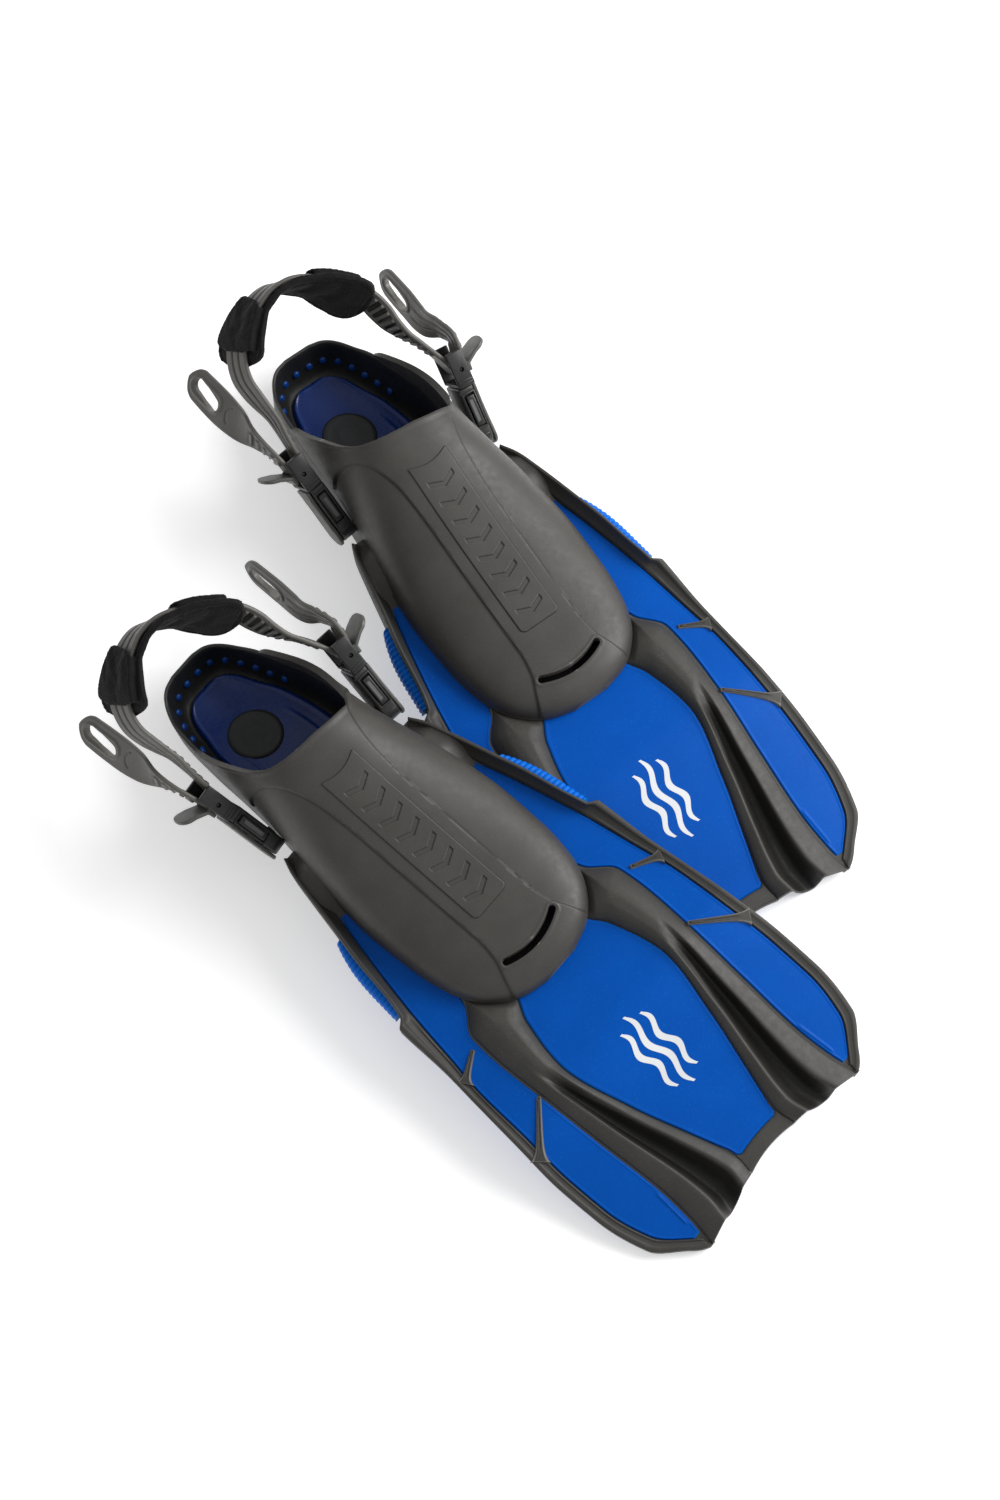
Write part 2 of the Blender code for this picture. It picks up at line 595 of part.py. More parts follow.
def finger_hole(side, parent):
    """Tool for the long round-ended hole near a free end."""
    start, end, half = LOOP_HOLE
    lean = math.radians(TAB_LEAN[side])
    across = Vector((0.0, -side * math.sin(lean), math.cos(lean)))
    through = Vector((0.0, side * math.cos(lean), math.sin(lean)))
    middle = Vector((0.0, side * 0.0811, 0.0655)) + Vector(TAB_SHIFT[side])
    outline = []
    for centre_u, first in ((end - half, -90.0), (start + half, 90.0)):
        for degrees in steps(first, first + 180.0, 6):
            angle = math.radians(degrees)
            outline.append(middle + Vector((centre_u + half * math.cos(angle), 0, 0))
                           + across * half * math.sin(angle) - through * 0.012)
    return prism("hole_tool", outline, through * 0.024, "strap", parent)


def heel_pad(name, parent):
    """Padded sleeve inside the strap's loop, with a lobe at each end."""
    path = loop_path(PAD_START)
    top, bottom = [], []
    for k, p in enumerate(path):
        ahead = path[min(k + 1, len(path) - 1)] - path[max(k - 1, 0)]
        share = abs(2.0 * k / (len(path) - 1) - 1.0)
        half = keyed(PAD_HALF, share)
        across = leaning(p.x, ahead)
        face = (BACK_UP * ahead.x + Vector((0, ahead.y, 0))).cross(across).normalized()
        centre = strap_point(*p) + face * (STRAP_THICK / 2 + 3 * GAP)
        top.append([centre + across * half * s for s in (-1.0, -0.5, 0.5, 1.0)])
        bottom.append([centre + across * half * s + face * PAD_THICK * (1.0 if abs(s) < 0.9 else 0.7)
                       for s in (-1.0, -0.5, 0.5, 1.0)])
    return solid(name, top, bottom, "pad", parent)


def buckle_box(name, side, spans, finish, parent):
    """Rectangular block given as its spans along a, b and c."""
    (a0, a1), (b0, b1), (c0, c1) = spans
    outline = [buckle_point(side, a, b0, c) for a, c in ((a0, c0), (a1, c0), (a1, c1), (a0, c1))]
    return prism(name, outline, buckle_point(side, a0, b1, c0) - outline[0], finish, parent)


def buckle_plate(name, side, outline, b_span, finish, parent):
    """Flat block from an outline of (a, c) points."""
    points = [buckle_point(side, a, b_span[0], c) for a, c in outline]
    first = outline[0]
    return prism(name, points, buckle_point(side, first[0], b_span[1], first[1]) - points[0],
                 finish, parent)


def round_nose(a_nose, a_back, half, count=7):
    """Outline with a half-round nose towards the toe and a square back."""
    outline = [(a_back, -half), (a_back, half)]
    for degrees in steps(90.0, 270.0, count):
        angle = math.radians(degrees)
        outline.append((a_nose + half * 0.8 + half * 0.8 * math.cos(angle), half * math.sin(angle)))
    return outline


def pin_ends(side, half):
    """Two points on a buckle pin's axis."""
    return (buckle_point(side, PIN_A, PIN_B, -half), buckle_point(side, PIN_A, PIN_B, half))


def buckle(prefix, side, fin, swing):
    """Post, socket, cover, frame, buttons, lever and pin of one side."""
    rod(prefix + "strap_post", strap_point(0.0, side * 0.0524), strap_point(0.0, side * 0.0590),
        POST_RADIUS, "rubber", fin)

    socket = buckle_plate(prefix + "buckle_socket", side, round_nose(-0.0125, 0.0335, 0.0125),
                          (0.0535, 0.0650), "buckle", swing)
    hole = rod("post_tool", strap_point(0.0, side * 0.0500), strap_point(0.0, side * 0.0600),
               POST_RADIUS + GAP, "buckle", swing)
    combine(socket, hole, "DIFFERENCE")
    for level, direction in (("upper", 1), ("lower", -1)):
        near, far = sorted((direction * 0.0075, direction * 0.0130))
        window = buckle_box("window_tool", side, ((0.0040, 0.0280), (0.0560, 0.0632), (near, far)),
                            "buckle", swing)
        combine(socket, window, "DIFFERENCE")
        rest = empty(prefix + level + "_button_axis",
                     Matrix.Translation(buckle_point(side, 0.016, 0.0596, direction * 0.012)), swing)
        low, high = sorted((direction * 0.0105, direction * 0.0138))
        buckle_box(prefix + level + "_release_button", side,
                   ((0.0046, 0.0274), (0.0565, 0.0627), (low, high)), "buckle", rest)

    buckle_plate(prefix + "socket_cover", side, round_nose(-0.0140, 0.0330, 0.0105),
                 (0.0654, 0.0680), "lever", swing)

    frame = buckle_plate(prefix + "buckle_frame", side,
                         [(0.0340, -0.0150), (0.0600, -0.0150), (0.0600, -0.0122), (0.0363, -0.0122),
                          (0.0363, 0.0122), (0.0600, 0.0122), (0.0600, 0.0150), (0.0340, 0.0150)],
                         (0.0545, 0.0668), "buckle", swing)
    combine(frame, rod("pin_tool", *pin_ends(side, 0.02), PIN_RADIUS + GAP, "buckle", swing), "DIFFERENCE")
    rod(prefix + "lever_pin", *pin_ends(side, 0.0146), PIN_RADIUS, "steel", swing)

    turn = empty(prefix + "lever_axis", Matrix.Translation(buckle_point(side, PIN_A, PIN_B)), swing)
    profile = [buckle_point(side, a, b, -0.0118) for a, b in LEVER_PROFILE]
    reach = buckle_point(side, 0.0, 0.0, 0.0118) - buckle_point(side, 0.0, 0.0, -0.0118)
    lever = prism(prefix + "tension_lever", profile, reach, "lever", turn)
    for c0, c1 in ((-0.0116, -0.0104), (0.0104, 0.0116)):
        ear = buckle_box("ear_tool", side, ((0.0437, 0.0492), (0.0590, 0.0685), (c0, c1)), "lever", turn)
        combine(lever, ear, "UNION")
    combine(lever, rod("pin_tool", *pin_ends(side, 0.02), PIN_RADIUS + GAP, "lever", turn), "DIFFERENCE")


def build_fin(which, matrix, outer_side):
    """All the pieces of one fin, under the empties that place and move them."""
    prefix = which + "_"
    fin = empty(prefix + "fin_frame", matrix)
    foot_pocket(prefix + "foot_pocket", fin)
    heel_plate(prefix + "heel_plate", fin)
    insole(prefix + "insole", fin)
    center_panel(prefix + "center_panel", fin)
    swing = empty(prefix + "strap_axis", Matrix.Translation(POST), fin)
    strap(prefix + "strap", swing)
    heel_pad(prefix + "heel_pad", swing)
    for label, side in (("outer", outer_side), ("inner", -outer_side)):
        sided = prefix + label + "_"
        side_panel(sided + "side_panel", side, fin)
        channel(sided + "channel", side, fin)
        edge_rail(sided + "edge_rail", side, fin)
        grip_strip(sided + "grip_strip", side, fin)
        buckle(sided, side, fin, swing)


def placement(heel, heading, roll=0.0, pitch=0.0):
    """Matrix from fin coordinates to the floor, turning about the heel."""
    turn = Matrix.Rotation(math.radians(heading), 4, "Z")
    return Matrix.Translation(heel) @ turn @ Matrix.Rotation(math.radians(pitch), 4, "Y") \
        @ Matrix.Rotation(math.radians(roll), 4, "X")


def main():
    for obj in list(bpy.data.objects):
        bpy.data.objects.remove(obj)
    build_fin("right", placement(RIGHT_HEEL, RIGHT_HEADING), 1)
    build_fin("left", placement(LEFT_HEEL, LEFT_HEADING, LEFT_ROLL, LEFT_PITCH), -1)


main()
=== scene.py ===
"""Looks of a pair of open-heel swim fins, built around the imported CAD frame.

Every piece is made in its fin's own coordinates, as the CAD is: u runs from heel to tip, v across
and z up, in metres. A piece is then placed on the floor, rides on its CAD body and stands for its
CAD node. "outer" is the side away from the other fin.
"""

import json
import math

import bmesh
import bpy
import numpy as np
from mathutils import Matrix, Vector


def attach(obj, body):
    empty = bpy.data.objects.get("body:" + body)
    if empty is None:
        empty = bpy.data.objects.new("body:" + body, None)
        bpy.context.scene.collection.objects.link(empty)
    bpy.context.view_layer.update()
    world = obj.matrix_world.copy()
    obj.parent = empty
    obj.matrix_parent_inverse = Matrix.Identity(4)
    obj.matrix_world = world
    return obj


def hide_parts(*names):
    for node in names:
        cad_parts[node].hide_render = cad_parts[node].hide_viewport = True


PHOTO_SIZE = (1000, 1500)

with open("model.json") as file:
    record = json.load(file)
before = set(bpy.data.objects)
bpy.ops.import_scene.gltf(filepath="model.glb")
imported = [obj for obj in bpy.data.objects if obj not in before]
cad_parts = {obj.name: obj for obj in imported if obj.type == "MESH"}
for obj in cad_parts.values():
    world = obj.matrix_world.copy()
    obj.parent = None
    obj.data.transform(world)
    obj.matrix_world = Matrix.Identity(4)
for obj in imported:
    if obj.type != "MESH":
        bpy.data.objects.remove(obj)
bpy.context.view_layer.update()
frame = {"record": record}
BODIES = frame["record"]["behaviour"]["bodies"]
BODY_OF = {node: body for body, nodes in BODIES.items() for node in nodes}

# Lists of pairs are (u, value) keys in a fin's own coordinates, unless a comment says otherwise.

# Where the two fins lie, as in the CAD; headings, roll and pitch in degrees
RIGHT_HEEL = Vector((0.0910, 0.3013, 0.0))
LEFT_HEEL = Vector((-0.0997, 0.1556, 0.0098))
RIGHT_HEADING = -90.0
LEFT_HEADING = -77.5
LEFT_ROLL = 8.0
LEFT_PITCH = 0.4

# Foot pocket
POCKET_EDGE_Z = 0.0456
POCKET_WALL = 0.003
HALF_WIDTH = [(-0.028, 0.010), (-0.0255, 0.019), (-0.020, 0.026), (-0.010, 0.0325), (0.004, 0.038),
              (0.021, 0.042), (0.05, 0.047), (0.092, 0.050), (0.12, 0.0545), (0.155, 0.061),
              (0.20, 0.0655), (0.235, 0.0645), (0.262, 0.0605), (0.28, 0.0535), (0.293, 0.043),
              (0.3015, 0.029), (0.306, 0.013)]
POCKET_TOP = [(0.03, 0.116), (0.092, 0.115), (0.12, 0.108), (0.155, 0.095), (0.20, 0.082),
              (0.25, 0.071), (0.278, 0.0655), (0.295, 0.061), (0.303, 0.0565), (0.306, 0.0535)]
RIM_SWEEP = {                     # u of the opening's rim by share of a quarter turn, on either side
    -1: [(0.0, 0.0950), (0.15, 0.0925), (0.33, 0.0870), (0.5, 0.0765), (0.67, 0.0600), (0.83, 0.0430),
         (0.93, 0.0310), (1.0, 0.0230)],
    1: [(0.0, 0.0950), (0.2, 0.0968), (0.4, 0.0962), (0.55, 0.0910), (0.67, 0.0790), (0.83, 0.0530),
        (0.93, 0.0290), (1.0, 0.0100)],
}
HEEL_SKEW = -0.006                # how far the heel turns to one side, between two stations
SKEW_FROM = (0.065, -0.010)
SECTION_POWER = 2.6               # squareness of the upper's cross-section
POCKET_END = 0.306
TOE_SIDE = 0.057                  # half width over which the blade's seam follows the toes
SEAM_INSET = 0.0028
CREASE = [(0.066, 0.0575), (0.074, 0.0545), (0.082, 0.0470), (0.090, 0.0395), (0.105, 0.0315),
          (0.130, 0.0258), (0.160, 0.0242), (0.258, 0.0240), (0.274, 0.0262), (0.289, 0.0325),
          (0.300, 0.0362), (0.310, 0.0366)]
CREASE_STEP = 0.0011
CREASE_BLUR = 0.0012
RIM_BEVEL = 0.0009                # rounding of the edges behind BEVEL_BEFORE
BEVEL_BEFORE = 0.15
SLOT_U = 0.2865                   # drain slot over the toes
SLOT_HALF = 0.023
SLOT_BOW = 0.0055
SLOT_WIDTH = 0.0052
LABEL_SPAN = (0.119, 0.250)       # raised panel along the instep
LABEL_HALF = 0.0158
LABEL_RISE = 0.0009
LABEL_CORNER = 0.0045
CHEVRONS = 8                      # plain debossed marks along the panel
CHEVRON_PITCH = 0.0142
CHEVRON_DEPTH = 0.0016
CHEVRON_HALF = 0.0100             # half width across the panel
CHEVRON_STROKE = 0.0019           # half width of a stroke
CHEVRON_SLANT = 0.42
CHEVRON_MIDDLE = 0.0085

# Sole tray and insole
TRAY_INSET = 0.0035
TRAY_RIM = [(-0.028, 0.035), (-0.008, 0.038), (0.010, 0.0446), (0.06, 0.0452), (0.306, 0.0452)]
FLOOR_Z = [(-0.028, 0.0055), (0.07, 0.006), (0.12, 0.0155), (0.20, 0.0305), (0.26, 0.0385),
           (0.306, 0.0400)]
MEDIAL_SPAN = (0.030, 0.255)      # line down the middle that the tray's rings shrink towards
SOLE_DEPTH = 0.006
SOLE_FLANK = [(-0.028, 0.010), (0.09, 0.010), (0.16, 0.036), (0.306, 0.038)]
SOLE_TUCK = [(-0.028, 0.80), (0.09, 0.80), (0.16, 0.50), (0.306, 0.50)]
INSOLE_HALF = [(-0.014, 0.004), (-0.0125, 0.0105), (-0.009, 0.0175), (-0.002, 0.0228), (0.012, 0.0275),
               (0.03, 0.033), (0.06, 0.0358), (0.11, 0.0372), (0.17, 0.0378), (0.21, 0.0345),
               (0.229, 0.025), (0.236, 0.006)]
HEEL_DOTS = 7                     # blue studs on each half of the heel cup
DOT_PITCH = 0.0122
DOT_RADIUS = 0.0026
STUD_INSET = 0.0066
STUD_HEIGHT = 0.0108
SIZE_DISC = (0.036, -0.005, 0.0185)       # where the round inlay lies, and its radius
WELD = 0.00005                    # points this close to each other become one

# Blade
BLADE_Z = [(0.11, 0.045), (0.30, 0.045), (0.35, 0.0440), (0.40, 0.0320), (0.45, 0.0220),
           (0.498, 0.0120)]
BLADE_THICK = 0.004
SKIN_LIFT = 0.0003                # how far a skin's top lies over the blade's plain surface
EDGE_DROOP = 0.005
WIDEST = 0.107
PANEL_HALF = [(0.29, 0.0335), (0.296, 0.0335), (0.32, 0.043), (0.352, 0.0505), (0.40, 0.0405),
              (0.44, 0.0285), (0.465, 0.021), (0.4735, 0.0195), (0.486, 0.0215)]
PANEL_START = 0.300
PANEL_END = 0.486
BLUE_END = 0.4735
BLUE_CORNER = 0.0045
ARM_OUTER = [(0.268, 0.056), (0.277, 0.0585), (0.297, 0.0725), (0.32, 0.074), (0.349, 0.073),
             (0.40, 0.0705), (0.45, 0.068), (0.475, 0.0695), (0.496, 0.0735)]
ARM_START = 0.271
CHANNEL_END = 0.496
# Keys of these two run over a channel's length, and those of the three profiles across it
ARM_RISE = [(0.0, 0.003), (0.12, 0.009), (0.30, 0.006), (0.42, 0.004), (1.0, 0.0065)]
GUTTER_DEPTH = [(0.0, 0.0), (0.30, 0.0), (0.42, 0.003), (0.70, 0.0075), (1.0, 0.0088)]
ARM_PROFILE = [(0.0, 0.0), (0.06, 0.34), (0.16, 0.70), (0.30, 0.95), (0.45, 1.0), (0.62, 0.90),
               (0.80, 0.60), (0.93, 0.24), (1.0, 0.0)]
LIP_PROFILE = [(0.0, 0.0), (0.03, 0.35), (0.12, 0.80), (0.185, 1.0), (0.215, 0.94), (0.25, 0.60),
               (0.44, 0.0), (0.50, 0.0), (0.60, 0.60), (0.645, 0.94), (0.68, 1.0), (0.78, 0.82),
               (0.97, 0.22), (1.0, 0.0)]
VALLEY_PROFILE = [(0.0, 0.0), (0.19, 0.0), (0.22, 0.05), (0.27, 0.45), (0.38, 0.92), (0.46, 1.0),
                  (0.54, 0.92), (0.615, 0.40), (0.65, 0.04), (0.68, 0.0), (1.0, 0.0)]
SPLIT = (0.25, 0.40)              # share of the channel over which the arm opens into the gutter
RAIL_INNER = [(0.122, 0.0585), (0.15, 0.0640), (0.175, 0.0700), (0.20, 0.0765), (0.249, 0.0870),
              (0.27, 0.0905), (0.29, 0.0935), (0.322, 0.0985), (0.36, 0.1010), (0.40, 0.1035),
              (0.43, 0.1030), (0.4625, 0.0965), (0.4895, 0.0745)]
RAIL_OUTER = [(0.118, 0.0630), (0.13, 0.0680), (0.15, 0.0730), (0.181, 0.0800), (0.20, 0.0845),
              (0.249, 0.0945), (0.254, 0.1005), (0.29, 0.1020), (0.322, 0.1050), (0.36, 0.1085),
              (0.40, 0.1115), (0.43, 0.1110), (0.467, 0.1040), (0.486, 0.0872), (0.494, 0.0790),
              (0.4962, 0.0745)]
RAIL_CREST = [(0.118, 0.003), (0.14, 0.010), (0.18, 0.013), (0.24, 0.012), (0.2545, 0.008),
              (0.29, 0.004), (0.322, 0.002), (0.4975, 0.0015)]
# u of the rail's outer edge by u of its inner edge
RAIL_SKEW = [(0.122, 0.118), (0.24, 0.239), (0.256, 0.2555), (0.425, 0.425), (0.4625, 0.467),
             (0.4885, 0.4962)]
RAIL_SPAN = (0.122, 0.4885)
RAIL_PROFILE = [(0.0, 0.10), (0.10, 0.22), (0.30, 0.36), (0.52, 0.60), (0.70, 0.98), (0.80, 1.0),
                (0.90, 0.98), (1.0, 0.80)]
SIDE_SPAN = (0.1655, 0.4852)
GRIP_SPAN = (0.184, 0.2465)
GRIP_WIDTH = 0.0055
GRIP_RIBS = 17
# Root and tip of each strut, and ends of the side panel's mark, as (u, v)
STRUTS = [((0.3085, 0.0990), (0.298, 0.079)), ((0.3785, 0.1060), (0.351, 0.0745))]
STRUT_RISE = 0.0024
SIDE_MARK = ((0.4485, 0.0722), (0.4740, 0.0740))
PRINT_MIDDLE = 0.390
PRINT_LENGTH = 0.060
PRINT_PITCH = 0.0098
WEB_TOP = 0.0009                  # depths of the webs inside the blade
WEB_BOTTOM = 0.0034

# Strap, pad and buckles: a runs from the post up and back, b outward, c across the strap
POST = np.array((0.097, 0.0, 0.040))
STRAP_TILT = 37.5
BUCKLE_SPLAY = 6.0
SPLAY_FROM = 0.058
POST_RADIUS = 0.003
STRAP_HALF = 0.010
STRAP_THICK = 0.0032
PIN_A = 0.0464                    # where the lever's pin crosses, and its radius
PIN_B = 0.0615
PIN_RADIUS = 0.00125
TURN_RADIUS = 0.0036
# Side view of the lever, as (a, b), from its back round the tip of the tab
LEVER_PROFILE = [(0.0420, 0.0674), (0.0480, 0.0674), (0.0540, 0.0765), (0.0590, 0.0862),
                 (0.0567, 0.0873), (0.0516, 0.0777), (0.0468, 0.0702), (0.0420, 0.0698)]
STRAP_LEAN = (24.0, 44.0)         # lean of the loop beside and behind the heel, in degrees
LEAN_FROM = (0.068, 0.116)
STRAP_SWAY = -0.020               # sideways shift of the loop's far end
SWAY_FROM = (0.075, 0.140)
STRAP_TUCK = (0.088, 0.031, 0.013)        # middle, reach and depth of the bend inwards on one side
# Half of the loop's middle line, as (a, b)
LOOP_PATH = [(0.075, 0.0620), (0.086, 0.0607), (0.097, 0.0590), (0.108, 0.0560), (0.119, 0.0520),
             (0.138, 0.0410), (0.1525, 0.0265), (0.1610, 0.0120), (0.1635, 0.0)]
# Free end of the strap from the buckle to its tip, as (u, v, z), and its half widths
TAB_PATH = [(0.0445, 0.0750, 0.0790), (0.028, 0.0785, 0.0800), (0.008, 0.0800, 0.0745),
            (-0.014, 0.0808, 0.0680), (-0.034, 0.0814, 0.0635), (-0.045, 0.0817, 0.0620)]
TAB_WIDTH = [0.010, 0.010, 0.0115, 0.0130, 0.0125, 0.0070]
TAB_LEAN = {-1: 42.0, 1: -16.0}   # by side of the fin
TAB_SHIFT = {-1: (0.0, 0.0, 0.0), 1: (0.010, -0.009, -0.010)}
LOOP_HOLE = (-0.038, -0.010, 0.0050)      # finger hole's first u, last u and half width
HOLE_MIDDLE = (0.0811, 0.0655)            # its middle, as (v, z)
RUNG_PITCH = 0.0062               # ladder teeth inside the strap
RUNG_RISE = 0.0013
GROOVE_RISE = 0.0008              # two lanes outside the strap
GROOVE_START = 0.040
STRAP_CORNER = 0.0011
PAD_THICK = 0.006
# Half width of the heel pad by share of the way from its middle to its end
PAD_HALF = [(0.0, 0.0150), (0.25, 0.0152), (0.55, 0.0205), (0.75, 0.0230), (0.87, 0.0215),
            (0.945, 0.0165), (0.985, 0.0095), (1.0, 0.0045)]
PAD_START = 0.115
PAD_TRIM = 0.009
PAD_VOXEL = 0.0011
PUFF_FRAMES = 14
PUFF_PRESSURE = 4.0
PUFF_LIMIT = 0.0009
GAP = 0.0004

# Buckle, in its own coordinates
SOCKET_B = (0.0535, 0.0648)
WINDOW_A = (0.0036, 0.0284)       # window for a release button, and its rim
WINDOW_B = (0.0558, 0.0634)
NOSE_ROUND = 0.8                  # length of a nose by its half width
FRAME_A = (0.0340, 0.0363, 0.0600)        # front, inside of the bridge and ends of the cheeks
FRAME_C = (0.0122, 0.0150)        # inside and outside of the cheeks
FRAME_B = (0.0545, 0.0668)
LEVER_HALF = 0.0118
TAB_ROUND = 0.0075


# Numbers -------------------------------------------------------------------------------------

def keyed(keys, x):
    """Smooth values at x on a curve through keyed points, without overshoot."""
    x = np.asarray(x, float)
    at = np.array([k[0] for k in keys], float)
    value = np.array([k[1] for k in keys], float)
    slope = np.diff(value) / np.diff(at)
    before, after = slope[:-1], slope[1:]
    same_way = before * after > 0.0
    total = np.where(same_way, before + after, 1.0)
    tangent = np.concatenate([slope[:1], np.where(same_way, 2.0 * before * after / total, 0.0), slope[-1:]])
    x = np.clip(x, at[0], at[-1])
    i = np.clip(np.searchsorted(at, x, side="right") - 1, 0, len(slope) - 1)
    width = at[i + 1] - at[i]
    t = (x - at[i]) / width
    start = value[i] * (1 + 2 * t) * (1 - t) ** 2 + tangent[i] * width * t * (1 - t) ** 2
    end = value[i + 1] * t * t * (3 - 2 * t) + tangent[i + 1] * width * t * t * (t - 1)
    return start + end


def smooth(x):
    """0 below 0, 1 above 1 and an even ramp between them."""
    x = np.clip(x, 0.0, 1.0)
    return x * x * (3 - 2 * x)


def bump(x):
    """A rounded bump of height 1 that reaches from -1 to 1."""
    return np.clip(1.0 - np.asarray(x) ** 2, 0.0, 1.0) ** 1.5


def spline(knots, values, x):
    """Vector values at x on a smooth curve through all of its knots."""
    knots, values = np.asarray(knots, float), np.asarray(values, float)
    tangent = np.gradient(values, knots, axis=0)
    i = np.clip(np.searchsorted(knots, x, side="right") - 1, 0, len(knots) - 2)
    width = (knots[i + 1] - knots[i])[:, None]
    t = (x - knots[i])[:, None] / width
    return (values[i] * (1 + 2 * t) * (1 - t) ** 2 + tangent[i] * width * t * (1 - t) ** 2
            + values[i + 1] * t * t * (3 - 2 * t) + tangent[i + 1] * width * t * t * (t - 1))


def clustered(count, ends=(0.008, 0.018, 0.030, 0.045, 0.065)):
    """Shares from 0 to 1 that lie closer together near both ends."""
    middle = np.linspace(0.09, 0.91, count)
    return np.concatenate([[0.0], ends, middle, 1.0 - np.array(ends)[::-1], [1.0]])


def unit(v):
    """Vectors scaled to length 1."""
    return v / np.maximum(np.linalg.norm(v, axis=-1, keepdims=True), 1e-12)


def stack(*parts):
    """Coordinate arrays joined into points."""
    return np.stack(np.broadcast_arrays(*parts), axis=-1)


def normals(grid):
    """Upward normals of a grid of points."""
    n = unit(np.cross(np.gradient(grid, axis=0), np.gradient(grid, axis=1)))
    return n * (1.0 if n[..., 2].mean() > 0.0 else -1.0)


def segment_distance(p, start, end):
    """Distance from points to a straight segment, in any number of dimensions."""
    start, end = np.asarray(start, float), np.asarray(end, float)
    t = np.clip(((p - start) @ (end - start)) / ((end - start) @ (end - start)), 0.0, 1.0)
    return np.linalg.norm(p - (start + t[..., None] * (end - start)), axis=-1)


# Meshes --------------------------------------------------------------------------------------

def grid_faces(rows, columns, first=0, wrap=False):
    """Quads of a grid of vertices, closed round its columns if wrap is set."""
    across = columns if wrap else columns - 1
    i, j = np.meshgrid(np.arange(rows - 1), np.arange(across), indexing="ij")
    k = (j + 1) % columns
    quads = np.stack([i * columns + j, i * columns + k, (i + 1) * columns + k, (i + 1) * columns + j], -1)
    return (quads.reshape(-1, 4) + first).tolist()


def build(name, points, faces, edge=0.0, segments=2, sharp=38.0, bevel_angle=50.0, weld=0.0):
    """Closed mesh object, with its edges rounded and its shading smooth."""
    mesh = bpy.data.meshes.new(name)
    mesh.from_pydata(np.asarray(points, float).tolist(), [], faces)
    bm = bmesh.new()
    bm.from_mesh(mesh)
    if weld:
        bmesh.ops.remove_doubles(bm, verts=bm.verts, dist=weld)
        bmesh.ops.dissolve_degenerate(bm, edges=bm.edges, dist=weld / 4)
    bmesh.ops.recalc_face_normals(bm, faces=bm.faces)
    bm.to_mesh(mesh)
    bm.free()
    obj = bpy.data.objects.new(name, mesh)
    bpy.context.scene.collection.objects.link(obj)
    if edge:
        rounded(obj, edge, segments, bevel_angle)
    smooth_shade(obj, sharp)
    return obj


def linked(name, bm):
    """Object from a bmesh, which is used up."""
    mesh = bpy.data.meshes.new(name)
    bm.to_mesh(mesh)
    bm.free()
    obj = bpy.data.objects.new(name, mesh)
    bpy.context.scene.collection.objects.link(obj)
    return obj


def merged(name, objects):
    """Several objects as one, without its shading."""
    bm = bmesh.new()
    for obj in objects:
        bm.from_mesh(obj.data)
        bpy.data.objects.remove(obj)
    return linked(name, bm)


def smooth_shade(obj, sharp=38.0):
    """Smooth shading, except over edges sharper than an angle."""
    obj.data.shade_smooth()
    obj.data.set_sharp_from_angle(angle=math.radians(sharp))


def evaluated(obj):
    """Replace an object's mesh by what its modifiers make of it."""
    bpy.context.view_layer.update()
    made = obj.evaluated_get(bpy.context.evaluated_depsgraph_get())
    mesh = bpy.data.meshes.new_from_object(made)
    obj.modifiers.clear()
    old, obj.data = obj.data, mesh
    mesh.name = old.name
    bpy.data.meshes.remove(old)


def rounded(obj, width, segments=2, angle=50.0, before=None):
    """Bevel the edges that are sharper than an angle, or only those of them that lie before some x."""
    modifier = obj.modifiers.new("bevel", "BEVEL")
    modifier.width = width
    modifier.segments = segments
    modifier.limit_method = "ANGLE"
    modifier.angle_limit = math.radians(angle)
    if before is not None:
        bm = bmesh.new()
        bm.from_mesh(obj.data)
        weight = bm.edges.layers.float.new("bevel_weight_edge")
        for edge in bm.edges:
            if edge.verts[0].co.x < before and edge.calc_face_angle(0.0) > math.radians(angle):
                edge[weight] = 1.0
        bm.to_mesh(obj.data)
        bm.free()
        modifier.limit_method = "WEIGHT"
    evaluated(obj)


def combine(obj, tool, operation="DIFFERENCE"):
    """Apply a Boolean with a tool object, then remove the tool."""
    modifier = obj.modifiers.new("boolean", "BOOLEAN")
    modifier.operation = operation
    modifier.object = tool
    evaluated(obj)
    bpy.data.objects.remove(tool)


def slab(name, top, bottom, **options):
    """Closed solid between two grids of points."""
    rows, columns = top.shape[:2]
    count = rows * columns
    faces = grid_faces(rows, columns) + grid_faces(rows, columns, count)
    for i in range(rows - 1):
        for j in (0, columns - 1):
            a, b = i * columns + j, (i + 1) * columns + j
            faces.append([a, b, count + b, count + a])
    for j in range(columns - 1):
        for i in (0, rows - 1):
            a, b = i * columns + j, i * columns + j + 1
            faces.append([a, b, count + b, count + a])
    return build(name, np.concatenate([top.reshape(-1, 3), bottom.reshape(-1, 3)]), faces, **options)


def sheet(fin, name, u, v, top, bottom, **options):
    """Closed solid of a fin between two heights over the same points in plan."""
    return slab(fin["prefix"] + name, stack(u, v, top), stack(u, v, bottom), **options)


def tube(name, rings, **options):
    """Closed solid through rings of points."""
    rows, columns = rings.shape[:2]
    faces = grid_faces(rows, columns, wrap=True)
    faces.append(list(range(columns)))
    faces.append(list(range((rows - 1) * columns, rows * columns)))
    return build(name, rings.reshape(-1, 3), faces, **options)


def prism(name, outline, offset, **options):
    """Closed solid from a flat outline and the vector it is extruded along."""
    outline = np.asarray(outline, float)
    return tube(name, np.stack([outline, outline + np.asarray(offset, float)]), **options)


def circle(radius, count=24):
    """Points of a circle, as (x, y)."""
    angle = np.linspace(0.0, math.tau, count, endpoint=False)
    return stack(radius * np.cos(angle), radius * np.sin(angle))


NOT_ALONG = (0.31, 0.83, 0.47)    # a direction that no round piece lies along


